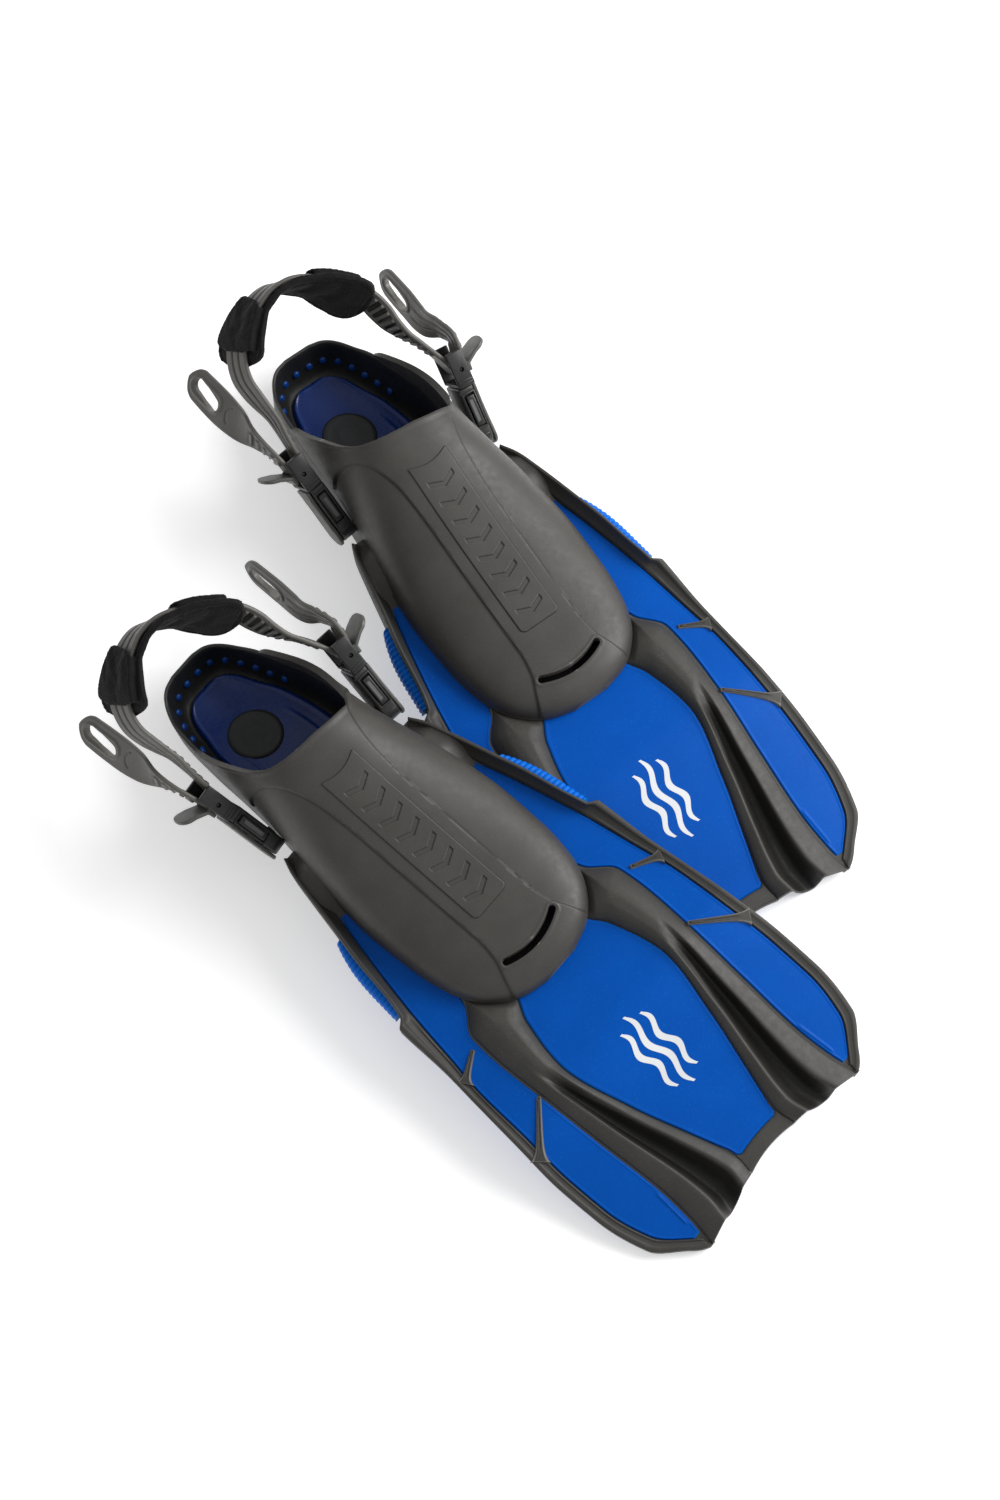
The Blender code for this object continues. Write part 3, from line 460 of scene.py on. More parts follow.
def turned(name, start, end, profile, sides=28, **options):
    """Round piece between two points; the profile gives (share along, radius)."""
    start, end = np.asarray(start, float), np.asarray(end, float)
    axis = unit(end - start)
    across = unit(np.cross(axis, NOT_ALONG))
    third = np.cross(axis, across)
    ring = circle(1.0, sides)
    rings = [start + (end - start) * share + radius * (ring[:, :1] * across + ring[:, 1:] * third)
             for share, radius in profile]
    return tube(name, np.array(rings), **options)


# Materials -----------------------------------------------------------------------------------

FINISHES = {
    # name: colour, lighter patches, edges and specks (wear, plus painted edge highlight),
    #       roughness, grain per metre, bump, specular
    "pocket": ((0.050, 0.0475, 0.043), (0.060, 0.057, 0.052), (0.20, 0.195, 0.18),
               0.45, 1900, 0.18, 0.36),
    "sole": ((0.013, 0.013, 0.013), (0.020, 0.020, 0.019), (0.08, 0.08, 0.075),
             0.46, 1500, 0.20, 0.42),
    "blade_frame": ((0.045, 0.0435, 0.039), (0.055, 0.053, 0.048), (0.26, 0.255, 0.235),
                    0.50, 1700, 0.15, 0.30),
    "blade_panel": ((0.000, 0.078, 0.420), (0.000, 0.085, 0.450), (0.02, 0.26, 0.76),
                    0.42, 1200, 0.07, 0.08),
    "grip": ((0.000, 0.120, 0.560), (0.000, 0.140, 0.640), (0.03, 0.38, 0.95),
             0.42, 1500, 0.12, 0.12),
    "insole": ((0.000, 0.024, 0.170), (0.000, 0.030, 0.205), (0.01, 0.08, 0.34),
               0.26, 1300, 0.08, 0.45),
    "stud": ((0.000, 0.040, 0.240), (0.000, 0.048, 0.280), (0.02, 0.16, 0.50),
             0.34, 1300, 0.08, 0.40),
    "strap": ((0.098, 0.095, 0.086), (0.115, 0.112, 0.102), (0.34, 0.335, 0.31),
              0.42, 1600, 0.14, 0.42),
    "heel_pad": ((0.0042, 0.0040, 0.0042), (0.0062, 0.0058, 0.0061), (0.016, 0.015, 0.015),
                 0.82, 1400, 0.30, 0.20),
    "buckle": ((0.016, 0.0165, 0.0160), (0.024, 0.0245, 0.0240), (0.20, 0.205, 0.20),
               0.34, 1500, 0.10, 0.50),
    "buckle_trim": ((0.078, 0.078, 0.072), (0.094, 0.094, 0.087), (0.30, 0.30, 0.28),
                    0.42, 1500, 0.12, 0.45),
    "pin": ((0.045, 0.045, 0.046), (0.070, 0.070, 0.071), (0.30, 0.30, 0.31),
            0.34, 2600, 0.05, 0.50),
    "print": ((0.74, 0.76, 0.78), (0.82, 0.83, 0.84), (0.62, 0.66, 0.72),
              0.48, 2600, 0.06, 0.40),
    "inlay": ((0.018, 0.020, 0.022), (0.028, 0.030, 0.032), (0.09, 0.09, 0.09),
              0.42, 1500, 0.12, 0.45),
}
WOVEN = ("heel_pad",)
WOVEN_SHEEN = 0.06
METAL = ("pin",)
RECESS_SHADE = 0.07               # colour of the painted shade at the bottom of a groove, as a share of the finish's


def finish(name):
    """Moulded, woven or metal finish with grain, uneven colour, edges lightened partly for wear and partly
    as a painted highlight, and painted shade in grooves.
    """
    found = bpy.data.materials.get("finish_" + name)
    if found:
        return found
    colour, patches, wear_and_edge_highlight, roughness, grain, strength, specular = FINISHES[name]
    material = bpy.data.materials.new("finish_" + name)
    material.use_nodes = True
    nodes, links = material.node_tree.nodes, material.node_tree.links
    shader = nodes["Principled BSDF"]
    where = nodes.new("ShaderNodeTexCoord").outputs["Object"]

    def noise(scale, detail):
        node = nodes.new("ShaderNodeTexNoise")
        node.inputs["Scale"].default_value = scale
        node.inputs["Detail"].default_value = detail
        links.new(where, node.inputs["Vector"])
        return node.outputs["Fac"]

    def spread(value, low, high, to_low, to_high):
        node = nodes.new("ShaderNodeMapRange")
        for key, number in (("From Min", low), ("From Max", high), ("To Min", to_low), ("To Max", to_high)):
            node.inputs[key].default_value = number
        links.new(value, node.inputs["Value"])
        return node.outputs["Result"]

    def mixed(factor, a, b):
        node = nodes.new("ShaderNodeMix")
        node.data_type = "RGBA"
        links.new(factor, node.inputs["Factor"])
        for socket, value in ((node.inputs[6], a), (node.inputs[7], b)):
            if isinstance(value, tuple):
                socket.default_value = (*value, 1.0)
            else:
                links.new(value, socket)
        return node.outputs[2]

    uneven = mixed(spread(noise(38.0, 5.0), 0.35, 0.68, 0.0, 1.0), colour, patches)
    specks = mixed(spread(noise(grain * 0.7, 2.0), 0.62, 0.80, 0.0, 0.30), uneven, wear_and_edge_highlight)
    # edges and points are lightened: partly wear, partly a painted highlight along edges and beads
    pointed = nodes.new("ShaderNodeNewGeometry").outputs["Pointiness"]
    edges = spread(pointed, 0.530, 0.61, 0.0, 0.60)
    # painted shade: the colour darkens towards a small share of itself where a piece stores its groove
    # attribute
    painted_groove_shade = nodes.new("ShaderNodeAttribute")
    painted_groove_shade.attribute_name = "painted_groove_shade"
    dark = tuple(c * RECESS_SHADE for c in colour)
    links.new(mixed(painted_groove_shade.outputs["Fac"], mixed(edges, specks, wear_and_edge_highlight), dark), shader.inputs["Base Color"])
    links.new(spread(noise(220.0, 4.0), 0.3, 0.7, roughness - 0.05, roughness + 0.07),
              shader.inputs["Roughness"])

    height = noise(grain, 3.0)
    if name in WOVEN:
        for direction in ("X", "Y", "Z"):
            wave = nodes.new("ShaderNodeTexWave")
            wave.bands_direction = direction
            wave.inputs["Scale"].default_value = grain / 6.0
            wave.inputs["Distortion"].default_value = 1.5
            links.new(where, wave.inputs["Vector"])
            added = nodes.new("ShaderNodeMath")
            links.new(height, added.inputs[0])
            links.new(wave.outputs["Fac"], added.inputs[1])
            height = added.outputs[0]
    relief = nodes.new("ShaderNodeBump")
    relief.inputs["Strength"].default_value = strength
    relief.inputs["Distance"].default_value = 0.0004
    links.new(height, relief.inputs["Height"])
    links.new(relief.outputs["Normal"], shader.inputs["Normal"])
    shader.inputs["Sheen Weight"].default_value = WOVEN_SHEEN if name in WOVEN else 0.0
    shader.inputs["Specular IOR Level"].default_value = specular
    shader.inputs["Metallic"].default_value = 1.0 if name in METAL else 0.0
    return material


def paint_groove_shade(obj, values):
    """Store how much painted shade each point gets in a groove, crease or gap, from 0 to 1; the finish is
    painted darker there.
    """
    marks = obj.data.attributes.new("painted_groove_shade", "FLOAT", "POINT")
    marks.data.foreach_set("value", np.clip(values, 0.0, 1.0).astype(np.float32).ravel())


def painted_groove_shade(obj, depth):
    """Paint shade into grooves by an amount that depends on place, leaving the underside alone."""
    points = np.empty(len(obj.data.vertices) * 3)
    obj.data.vertices.foreach_get("co", points)
    points = points.reshape(-1, 3)
    up = np.array([v.normal.z for v in obj.data.vertices])
    paint_groove_shade(obj, depth(*points.T) * (up > -0.3))


def wear(obj, fin, node, look, stands=True):
    """Place a finished piece on its body, with its material and the node it stands for."""
    name = fin["prefix"] + node
    obj.data.transform(fin["place"])
    obj.data.materials.clear()
    obj.data.materials.append(finish(look))
    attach(obj, BODY_OF[name])
    if stands:
        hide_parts(name)
    return obj


# Foot pocket ---------------------------------------------------------------------------------

def bent(u):
    """How far to one side the heel's middle line lies at u."""
    return HEEL_SKEW * smooth((SKEW_FROM[0] - u) / (SKEW_FROM[0] - SKEW_FROM[1]))


def crease_rise(u, v):
    """Height of the band between the two creases over the shoe."""
    return CREASE_STEP * smooth((keyed(CREASE, u) - np.abs(v)) / CREASE_BLUR + 0.5)


def pocket_z(u, v):
    """Top of the shoe upper, creases included, over a point in plan."""
    half, top = keyed(HALF_WIDTH, u), keyed(POCKET_TOP, u)
    share = np.clip(1.0 - np.abs(v / half) ** SECTION_POWER, 0.0, 1.0) ** (1 / SECTION_POWER)
    return POCKET_EDGE_Z + (top - POCKET_EDGE_Z) * share + crease_rise(u, v)


def slot_line(share):
    """Middle line of the drain slot; share runs from -1 to 1."""
    return SLOT_U - SLOT_BOW * share ** 2


def pocket_grid(inset, rows, columns):
    """Points of the upper from its slanted opening to the toe."""
    s, t = np.meshgrid(rows, columns, indexing="ij")
    angle = np.radians(90.0 * t)
    rim = np.where(t > 0.0, keyed(RIM_SWEEP[1], np.abs(t)), keyed(RIM_SWEEP[-1], np.abs(t)))
    u = rim + (POCKET_END - inset - rim) * s
    half = keyed(HALF_WIDTH, u + inset) - inset
    height = keyed(POCKET_TOP, u + inset) - inset - POCKET_EDGE_Z
    across = np.sign(t) * np.abs(np.sin(angle)) ** (2 / SECTION_POWER)
    up = np.clip(np.cos(angle), 0.0, 1.0) ** (2 / SECTION_POWER)
    grid = stack(u, half * across + bent(u), POCKET_EDGE_Z + height * up)
    last = grid[-1:].copy()
    last[..., 2] = POCKET_EDGE_Z
    return np.concatenate([grid, last])


def foot_pocket(fin):
    """Soft upper with its rolled rim, creases, toe lip and drain slot."""
    rows = 1.0 - (1.0 - np.linspace(0.0, 1.0, 250)) ** 1.18
    rows[:4] = [0.0, 0.004, 0.008, 0.013]
    columns = np.linspace(-1.0, 1.0, 221)
    outer = pocket_grid(0.0, rows, columns)
    inner = pocket_grid(POCKET_WALL, rows, columns)
    u, v, z = np.moveaxis(outer, -1, 0)
    share = np.concatenate([rows, [1.0]])[:, None]
    raised = crease_rise(u, v) * smooth((z - POCKET_EDGE_Z) / 0.004)
    raised += 0.0007 * bump((share - 0.008) / 0.012)
    raised += 0.0006 * smooth(1.0 - (z - POCKET_EDGE_Z - 0.0016) / 0.0012) * smooth((u - 0.12) / 0.03)
    slot_share = np.clip(v / SLOT_HALF, -1.0, 1.0)
    to_slot = np.hypot(u - slot_line(slot_share), v - slot_share * SLOT_HALF) - SLOT_WIDTH / 2
    raised += 0.0004 * bump((to_slot - 0.0013) / 0.0014)
    outer = outer + normals(outer) * raised[..., None]
    outer[-1, :, 2] = POCKET_EDGE_Z
    obj = slab(fin["prefix"] + "foot_pocket_skin", outer, inner)
    combine(obj, slot_tool())
    rounded(obj, RIM_BEVEL, 3, before=BEVEL_BEFORE)
    smooth_shade(obj)
    # painted shade: a dark line along each crease's lower side, where the groove's shade falls
    painted_groove_shade(obj, lambda u, v, z: 0.55 * bump((np.abs(v) - keyed(CREASE, u) - 0.0007) / 0.0011)
           * smooth((z - POCKET_EDGE_Z) / 0.006) * smooth((u - 0.064) / 0.006))
    wear(obj, fin, "foot_pocket", "pocket")


def slot_tool():
    """Curved tool with round ends that opens the drain slot."""
    half = SLOT_WIDTH / 2
    share = np.linspace(-1.0, 1.0, 41)
    line = stack(slot_line(share), share * SLOT_HALF)
    along = unit(np.gradient(line, axis=0))
    across = stack(along[:, 1], -along[:, 0])
    turn = np.radians(np.linspace(0.0, 180.0, 13)[1:-1])[:, None]
    far = line[-1] + half * (np.cos(turn) * across[-1] + np.sin(turn) * along[-1])
    near = line[0] - half * (np.cos(turn) * across[0] + np.sin(turn) * along[0])
    outline = np.concatenate([line + half * across, far, (line - half * across)[::-1], near])
    points = stack(outline[:, 0], outline[:, 1], np.full(len(outline), 0.050))
    return prism("slot_tool", points, (0.0, 0.0, 0.035))


def corner_rounding(v, half, corner):
    """How far rounded corners draw a straight end back at v."""
    inward = np.clip((np.abs(v) - (half - corner)) / corner, 0.0, 1.0)
    return corner * (1.0 - np.sqrt(1.0 - inward ** 2))


def instep_label(fin):
    """Raised panel over the instep, with plain chevrons pressed into it."""
    across = np.linspace(-1.0, 1.0, 75)
    along = np.linspace(0.0, 1.0, 291)
    s, c = np.meshgrid(along, across, indexing="ij")
    v = c * LABEL_HALF
    rounding = corner_rounding(v, LABEL_HALF, LABEL_CORNER)
    start = LABEL_SPAN[0] + LABEL_CORNER * (1.0 - (v / LABEL_HALF) ** 2) + 0.25 * rounding
    end = LABEL_SPAN[1] - rounding
    u = start + (end - start) * s
    border = np.minimum(np.minimum(u - start, end - u), LABEL_HALF - np.abs(v))
    rise = LABEL_RISE * smooth(border / 0.0008)
    first = sum(LABEL_SPAN) / 2 + 0.002 - CHEVRON_PITCH * (CHEVRONS - 1) / 2
    from_first = u - CHEVRON_SLANT * (CHEVRON_MIDDLE - np.abs(v)) - first
    nearest = np.clip(np.round(from_first / CHEVRON_PITCH), 0, CHEVRONS - 1)
    stroke = smooth((CHEVRON_STROKE - np.abs(from_first - nearest * CHEVRON_PITCH)) / 0.0006)
    stroke *= smooth((CHEVRON_HALF - np.abs(v)) / 0.0006)
    z = pocket_z(u, v)
    obj = sheet(fin, "instep_panel", u, v, z + rise - CHEVRON_DEPTH * stroke, z - 0.0016, sharp=60.0)
    # painted shade inside the pressed chevrons and in the groove round the panel's edge
    rim = 0.8 * bump((border - 0.0001) / 0.0007)
    paint_groove_shade(obj, np.stack([np.maximum(stroke, rim), np.zeros(stroke.shape)]))
    wear(obj, fin, "foot_pocket", "pocket", stands=False)


# Sole tray and insole ------------------------------------------------------------------------

def tray_outline(count=150):
    """Outline of the sole tray from the heel's middle round one side to the toe's middle."""
    u = np.concatenate([np.linspace(-0.028, 0.03, 160), np.linspace(0.031, 0.27, 200),
                        np.linspace(0.271, POCKET_END - TRAY_INSET - 0.0015, 120)])
    inset = TRAY_INSET * np.clip((u - 0.11) / 0.03, 0.0, 1.0)
    half = keyed(HALF_WIDTH, u + inset) - inset
    points = np.concatenate([[(u[0], 0.0)], stack(u, half), [(u[-1], 0.0)]])
    length = np.concatenate([[0.0], np.cumsum(np.linalg.norm(np.diff(points, axis=0), axis=1))])
    at = np.linspace(0.0, length[-1], count)
    return stack(np.interp(at, length, points[:, 0]), np.interp(at, length, points[:, 1]))


def heel_plate(fin):
    """Sole tray: cupped heel, rounded wall, footbed and underside."""
    half_outline = tray_outline()
    mirrored = half_outline[1:-1][::-1] * (1.0, -1.0)
    outline = np.concatenate([half_outline, mirrored])
    middle_u = np.clip(outline[:, 0], *MEDIAL_SPAN)
    medial = stack(middle_u, np.zeros(len(outline)))
    way = unit(medial - outline)
    reach = np.linalg.norm(medial - outline, axis=1)
    u = outline[:, 0]
    rim, floor = keyed(TRAY_RIM, u), keyed(FLOOR_Z, u)
    flank = np.minimum(keyed(SOLE_FLANK, u), rim - 0.004)
    tuck = keyed(SOLE_TUCK, u)
    ends = 0.005 * smooth((-0.016 - u) / 0.010)
    cup = 0.0095 + 0.0045 * smooth((0.010 - u) / 0.03)

    def ring(offset, z):
        at = outline + way * np.minimum(offset, reach)[:, None]
        return stack(at[:, 0], at[:, 1], z), at[:, 0]

    def under(offset):
        at = outline + way * np.minimum(offset, reach)[:, None]
        return np.maximum(keyed(FLOOR_Z, at[:, 0]) - SOLE_DEPTH, 0.0)

    rings = []
    for share in (1.0, 0.75, 0.5, 0.25, 0.0):
        offset = reach * ((1.0 - tuck) + tuck * share)
        rings.append(ring(offset, under(offset) + ends * (1.0 - share))[0])
    low = under(reach * (1.0 - tuck)) + ends
    for degrees in (20, 40, 60, 75, 90):
        turn = math.radians(degrees)
        offset = reach * (1.0 - tuck) * (1.0 - math.sin(turn))
        rings.append(ring(offset, low + np.maximum(flank - low, 0.0) * (1.0 - math.cos(turn)))[0])
    for offset, drop in ((0.0, 0.0030), (0.0, 0.0012), (0.0005, 0.0003), (0.0013, 0.0), (0.0024, 0.0004),
                         (0.0030, 0.0014)):
        rings.append(ring(np.full(len(u), offset), rim - drop)[0])
    for share in (0.02, 0.05, 0.10, 0.17, 0.26, 0.36, 0.48, 0.62, 0.80, 1.0):
        inward, at = ring(0.0030 + cup * share, floor)
        wall = rim - 0.0016 - keyed(FLOOR_Z, at)
        inward[:, 2] = keyed(FLOOR_Z, at) + wall * (1.0 - math.sqrt(1.0 - (1.0 - share) ** 2))
        rings.append(inward)
    for share in (0.5, 0.75, 1.0):
        inward, at = ring(np.maximum(reach * share, np.minimum(0.0175 + 0.001 * share, reach)), floor)
        inward[:, 2] = keyed(FLOOR_Z, at)
        rings.append(inward)
    rings = np.array(rings)
    rings[..., 1] += bent(rings[..., 0])
    rows, columns = rings.shape[:2]
    obj = build(fin["prefix"] + "heel_plate_skin", rings.reshape(-1, 3),
                grid_faces(rows, columns, wrap=True), weld=WELD)
    wear(obj, fin, "heel_plate", "sole")
    heel_studs(fin, half_outline)


def heel_studs(fin, half_outline):
    """Small blue studs set round the heel cup."""
    lengths = np.concatenate([[0.0], np.cumsum(np.linalg.norm(np.diff(half_outline, axis=0), axis=1))])
    bm = bmesh.new()
    for side in (-1, 1):
        for k in range(HEEL_DOTS):
            at = (k + 0.5) * DOT_PITCH
            u = np.interp(at, lengths, half_outline[:, 0])
            v = np.interp(at, lengths, half_outline[:, 1])
            way = unit(np.array((np.clip(u, *MEDIAL_SPAN) - u, -v)))
            u, v = np.array((u, v)) + way * STUD_INSET
            normal = Vector((way[0] * 0.85, way[1] * side * 0.85, 0.53)).normalized()
            place = Matrix.Translation(Vector((u, v * side + bent(u), keyed(FLOOR_Z, u) + STUD_HEIGHT)))
            turn = Vector((0, 0, 1)).rotation_difference(normal).to_matrix().to_4x4()
            flat = Matrix.Diagonal((DOT_RADIUS, DOT_RADIUS, DOT_RADIUS * 0.55, 1.0))
            bmesh.ops.create_uvsphere(bm, u_segments=20, v_segments=10, radius=1.0,
                                      matrix=place @ turn @ flat)
    obj = linked(fin["prefix"] + "heel_studs", bm)
    smooth_shade(obj)
    wear(obj, fin, "heel_plate", "stud", stands=False)


def insole(fin):
    """Blue kidney-shaped inlay with a rolled border and a contour line, and its round inlay."""
    rows = np.concatenate([[0.0, 0.002, 0.005, 0.009, 0.014], np.linspace(0.02, 0.98, 150),
                           [0.99, 0.996, 1.0]])
    s, c = np.meshgrid(rows, -1.0 + 2.0 * clustered(60, (0.01, 0.022, 0.036, 0.05, 0.07)), indexing="ij")
    u = INSOLE_HALF[0][0] + (INSOLE_HALF[-1][0] - INSOLE_HALF[0][0]) * s
    half = keyed(INSOLE_HALF, u)
    v = half * c + bent(u)
    base = keyed(FLOOR_Z, u) + 0.0008
    border = np.minimum(half * (1.0 - np.abs(c)), np.minimum(u - u.min(), u.max() - u))
    lip = 0.0022 * np.sqrt(smooth(border / 0.0026)) + 0.0007 * bump((border - 0.0026) / 0.0022)
    contour = 0.0005 * bump((np.abs(c) - 0.62) / 0.05)
    contour *= smooth((u - 0.03) / 0.02) * smooth((0.21 - u) / 0.02)
    dish = -0.0006 * smooth(1.0 - np.abs(c) / 0.6)
    obj = sheet(fin, "insole_skin", u, v, base + 0.0002 + lip + contour + dish, base, sharp=60.0)
    wear(obj, fin, "insole", "insole")

    middle, aside, radius = SIZE_DISC
    angle = np.linspace(0.0, math.tau, 72, endpoint=False)
    profile = [(0.0, 0.0010), (0.30, 0.0010), (0.36, 0.0013), (0.42, 0.0010), (0.70, 0.0010), (0.78, 0.0014),
               (0.86, 0.0014), (0.94, 0.0009), (1.0, 0.0001), (1.0, -0.0012), (0.0, -0.0012)]
    rings = []
    for share, rise in profile:
        u = middle + radius * share * np.cos(angle)
        v = aside + radius * share * np.sin(angle)
        rings.append(stack(u, v + bent(u), keyed(FLOOR_Z, u) + 0.0030 + rise))
    rings = np.array(rings)
    obj = build(fin["prefix"] + "insole_disc", rings.reshape(-1, 3),
                grid_faces(*rings.shape[:2], wrap=True), weld=WELD, sharp=60.0)
    wear(obj, fin, "insole", "inlay", stands=False)


# Blade ---------------------------------------------------------------------------------------

def blade_z(u, v):
    """Top of the blade, which arches down to the tip and droops at its edges."""
    return keyed(BLADE_Z, u) - EDGE_DROOP * (np.abs(v) / WIDEST) ** 3


def toe_u(v):
    """Where the seam between sole tray and blade runs, ahead of the toes."""
    front = [(w, u) for u, w in reversed(HALF_WIDTH) if u > 0.25]
    return keyed([(0.0, POCKET_END + 0.0005)] + front, np.minimum(np.abs(v), TOE_SIDE)) - SEAM_INSET


def pulled_to_toe(u, v, along):
    """Bend the rear rows of a blade piece round the seam ahead of the toes."""
    fade = np.clip(1.0 - along / 0.25, 0.0, None)
    return u + (toe_u(v) + along * (PANEL_END - PANEL_START) - u) * fade


def panel_rim(border):
    """Rounded bead along a blue panel's edge."""
    return -0.0009 * (1.0 - smooth(border / 0.0009)) + 0.0003 * bump((border - 0.0013) / 0.0010)


def panel_end(v):
    """Where the blue of the centre panel ends, with rounded corners."""
    half = float(keyed(PANEL_HALF, BLUE_END))
    return BLUE_END - 0.0015 * (1.0 - (v / half) ** 2) - corner_rounding(v, half, BLUE_CORNER)


def center_panel(fin):
    """Blue centre panel, the dark rim at its tip and the plain wave printed on it."""
    along, c = np.meshgrid(np.concatenate([np.linspace(0.0, 0.98, 190), [0.988, 0.993, 0.997, 1.0]]),
                           -1.0 + 2.0 * clustered(70), indexing="ij")
    share = along * (BLUE_END - PANEL_START) / (PANEL_END - PANEL_START)
    station = PANEL_START + (BLUE_END - PANEL_START) * along
    v = keyed(PANEL_HALF, station) * c
    u = pulled_to_toe(station, v, share)
    u = u + (panel_end(v) - BLUE_END) * smooth((along - 0.90) / 0.10)
    border = np.minimum(keyed(PANEL_HALF, station) * (1.0 - np.abs(c)), np.maximum(panel_end(v) - u, 0.0))
    z = blade_z(u, v)
    obj = sheet(fin, "center_panel_skin", u, v, z + SKIN_LIFT + panel_rim(border), z - BLADE_THICK,
                sharp=60.0)
    wear(obj, fin, "center_panel", "blade_panel")

    s, c = np.meshgrid(clustered(10, (0.03, 0.07)), -1.0 + 2.0 * clustered(50), indexing="ij")
    half = keyed(PANEL_HALF, BLUE_END + (PANEL_END - BLUE_END) * s)
    v = half * c
    start = panel_end(np.clip(v, -0.0193, 0.0193)) + 0.0003
    end = PANEL_END - 0.0028 * (1.0 - c ** 2)
    u = start + (end - start) * s
    z = blade_z(u, v)
    rise = 0.0006 * smooth(s / 0.12) * smooth((1.0 - s) / 0.10)
    obj = sheet(fin, "tip_rim", u, v, z + rise, z - BLADE_THICK, edge=0.0005)
    wear(obj, fin, "center_panel", "blade_frame", stands=False)
    printed_wave(fin)


def printed_wave(fin):
    """Three plain wave strokes printed in white on the centre panel."""
    along = np.linspace(0.0, 1.0, 90)
    for k, offset in enumerate((-PRINT_PITCH, 0.0, PRINT_PITCH)):
        length = PRINT_LENGTH * (0.80 if k != 1 else 1.0)
        u = PRINT_MIDDLE + length * (along - 0.5)
        v = offset + 0.0024 * np.sin(along * math.tau * 2.0)
        half = 0.0024 * np.sqrt(np.clip(bump((along - 0.5) * 2.0), 0.03, 1.0)) ** 0.5
        s, c = np.meshgrid(along, np.linspace(-1.0, 1.0, 7), indexing="ij")
        u, v = np.broadcast_to(u[:, None], s.shape), v[:, None] + half[:, None] * c
        z = blade_z(u, v)
        obj = sheet(fin, f"print_stroke_{k + 1}", u, v, z + 0.00042, z - 0.0002)
        wear(obj, fin, "center_panel", "print", stands=False)


def channel(fin, label, side):
    """Arm beside the toes that opens into a deep gutter between raised lips."""
    along, s = np.meshgrid(np.linspace(0.0, 1.0, 230), clustered(66, (0.006, 0.014, 0.024, 0.038, 0.06)),
                           indexing="ij")
    inner_u = PANEL_START + (PANEL_END - PANEL_START) * along
    outer_u = ARM_START + (CHANNEL_END - ARM_START) * along
    inner_v = keyed(PANEL_HALF, inner_u) + GAP
    outer_v = keyed(ARM_OUTER, outer_u)
    v = inner_v + (outer_v - inner_v) * s
    u = pulled_to_toe(inner_u + (outer_u - inner_u) * s, v, along)
    rise, depth = keyed(ARM_RISE, along), keyed(GUTTER_DEPTH, along)
    opening = smooth((along - SPLIT[0]) / (SPLIT[1] - SPLIT[0]))
    hump = rise * (keyed(ARM_PROFILE, s) * (1.0 - opening) + keyed(LIP_PROFILE, s) * opening)
    narrow = 0.35 + 0.65 * smooth((along - SPLIT[0]) / 0.45)
    valley = depth * keyed(VALLEY_PROFILE, 0.49 + (s - 0.49) / narrow) * opening
    edge = np.minimum(s, 1.0 - s) * (outer_v - inner_v)
    top = blade_z(u, v) + SKIN_LIFT + hump * smooth(along / 0.05) - valley
    top -= 0.0006 * (1.0 - smooth(edge / 0.0007))
    obj = sheet(fin, label + "_channel_skin", u, side * v, top, np.maximum(top - BLADE_THICK, 0.0003),
                edge=0.0005)
    outline = 0.5 * (u[:, 30] + u[:, 40])

    # painted shade along the gutter's floor, darker than its depth alone would make it
    def gutter(x, y, z):
        where = np.interp(x, outline, along[:, 0])
        inner, outer = keyed(PANEL_HALF, x) + GAP, keyed(ARM_OUTER, x)
        share = (np.abs(y) - inner) / (outer - inner)
        reach = smooth((where - SPLIT[0] - 0.01) / 0.12)
        middle = 0.44 - 0.05 * (1.0 - reach)
        return 0.72 * reach * smooth((0.205 * reach + 0.02 - np.abs(share - middle)) / 0.05)

    painted_groove_shade(obj, gutter)
    wear(obj, fin, label + "_channel", "blade_frame")


def arm_edge():
    """Outer edge of an arm and its channel, as (u, v) points."""
    along = np.linspace(0.0, 1.0, 60)
    u = ARM_START + (CHANNEL_END - ARM_START) * along
    v = keyed(ARM_OUTER, u)
    return list(zip(pulled_to_toe(u, v, along), v))


def side_panel(fin, label, side):
    """Blue side panel with a beaded edge and a short raised line near the tip."""
    edge = arm_edge()
    rows = np.concatenate([[0.0, 0.003], np.linspace(0.008, 0.985, 210), [0.991, 0.996, 1.0]])
    along, s = np.meshgrid(rows, clustered(34, (0.012, 0.025, 0.038, 0.052, 0.07)), indexing="ij")
    u = SIDE_SPAN[0] + (SIDE_SPAN[1] - SIDE_SPAN[0]) * along
    inner = np.where(u < edge[0][0], keyed(HALF_WIDTH, u) - SEAM_INSET, keyed(edge, u) + 4 * GAP)
    outer = keyed(RAIL_INNER, u) - GAP
    v = inner + (outer - inner) * s
    from_end = np.minimum(1.0 - along, along) * 0.316
    border = np.minimum(np.minimum(s, 1.0 - s) * (outer - inner), from_end)
    to_mark = segment_distance(stack(u, v), *SIDE_MARK)
    z = blade_z(u, v)
    top = z + SKIN_LIFT + panel_rim(border) + 0.0008 * bump(to_mark / 0.0013)
    obj = sheet(fin, label + "_side_panel_skin", u, side * v, top, z - BLADE_THICK, sharp=60.0)
    wear(obj, fin, label + "_side_panel", "blade_panel")


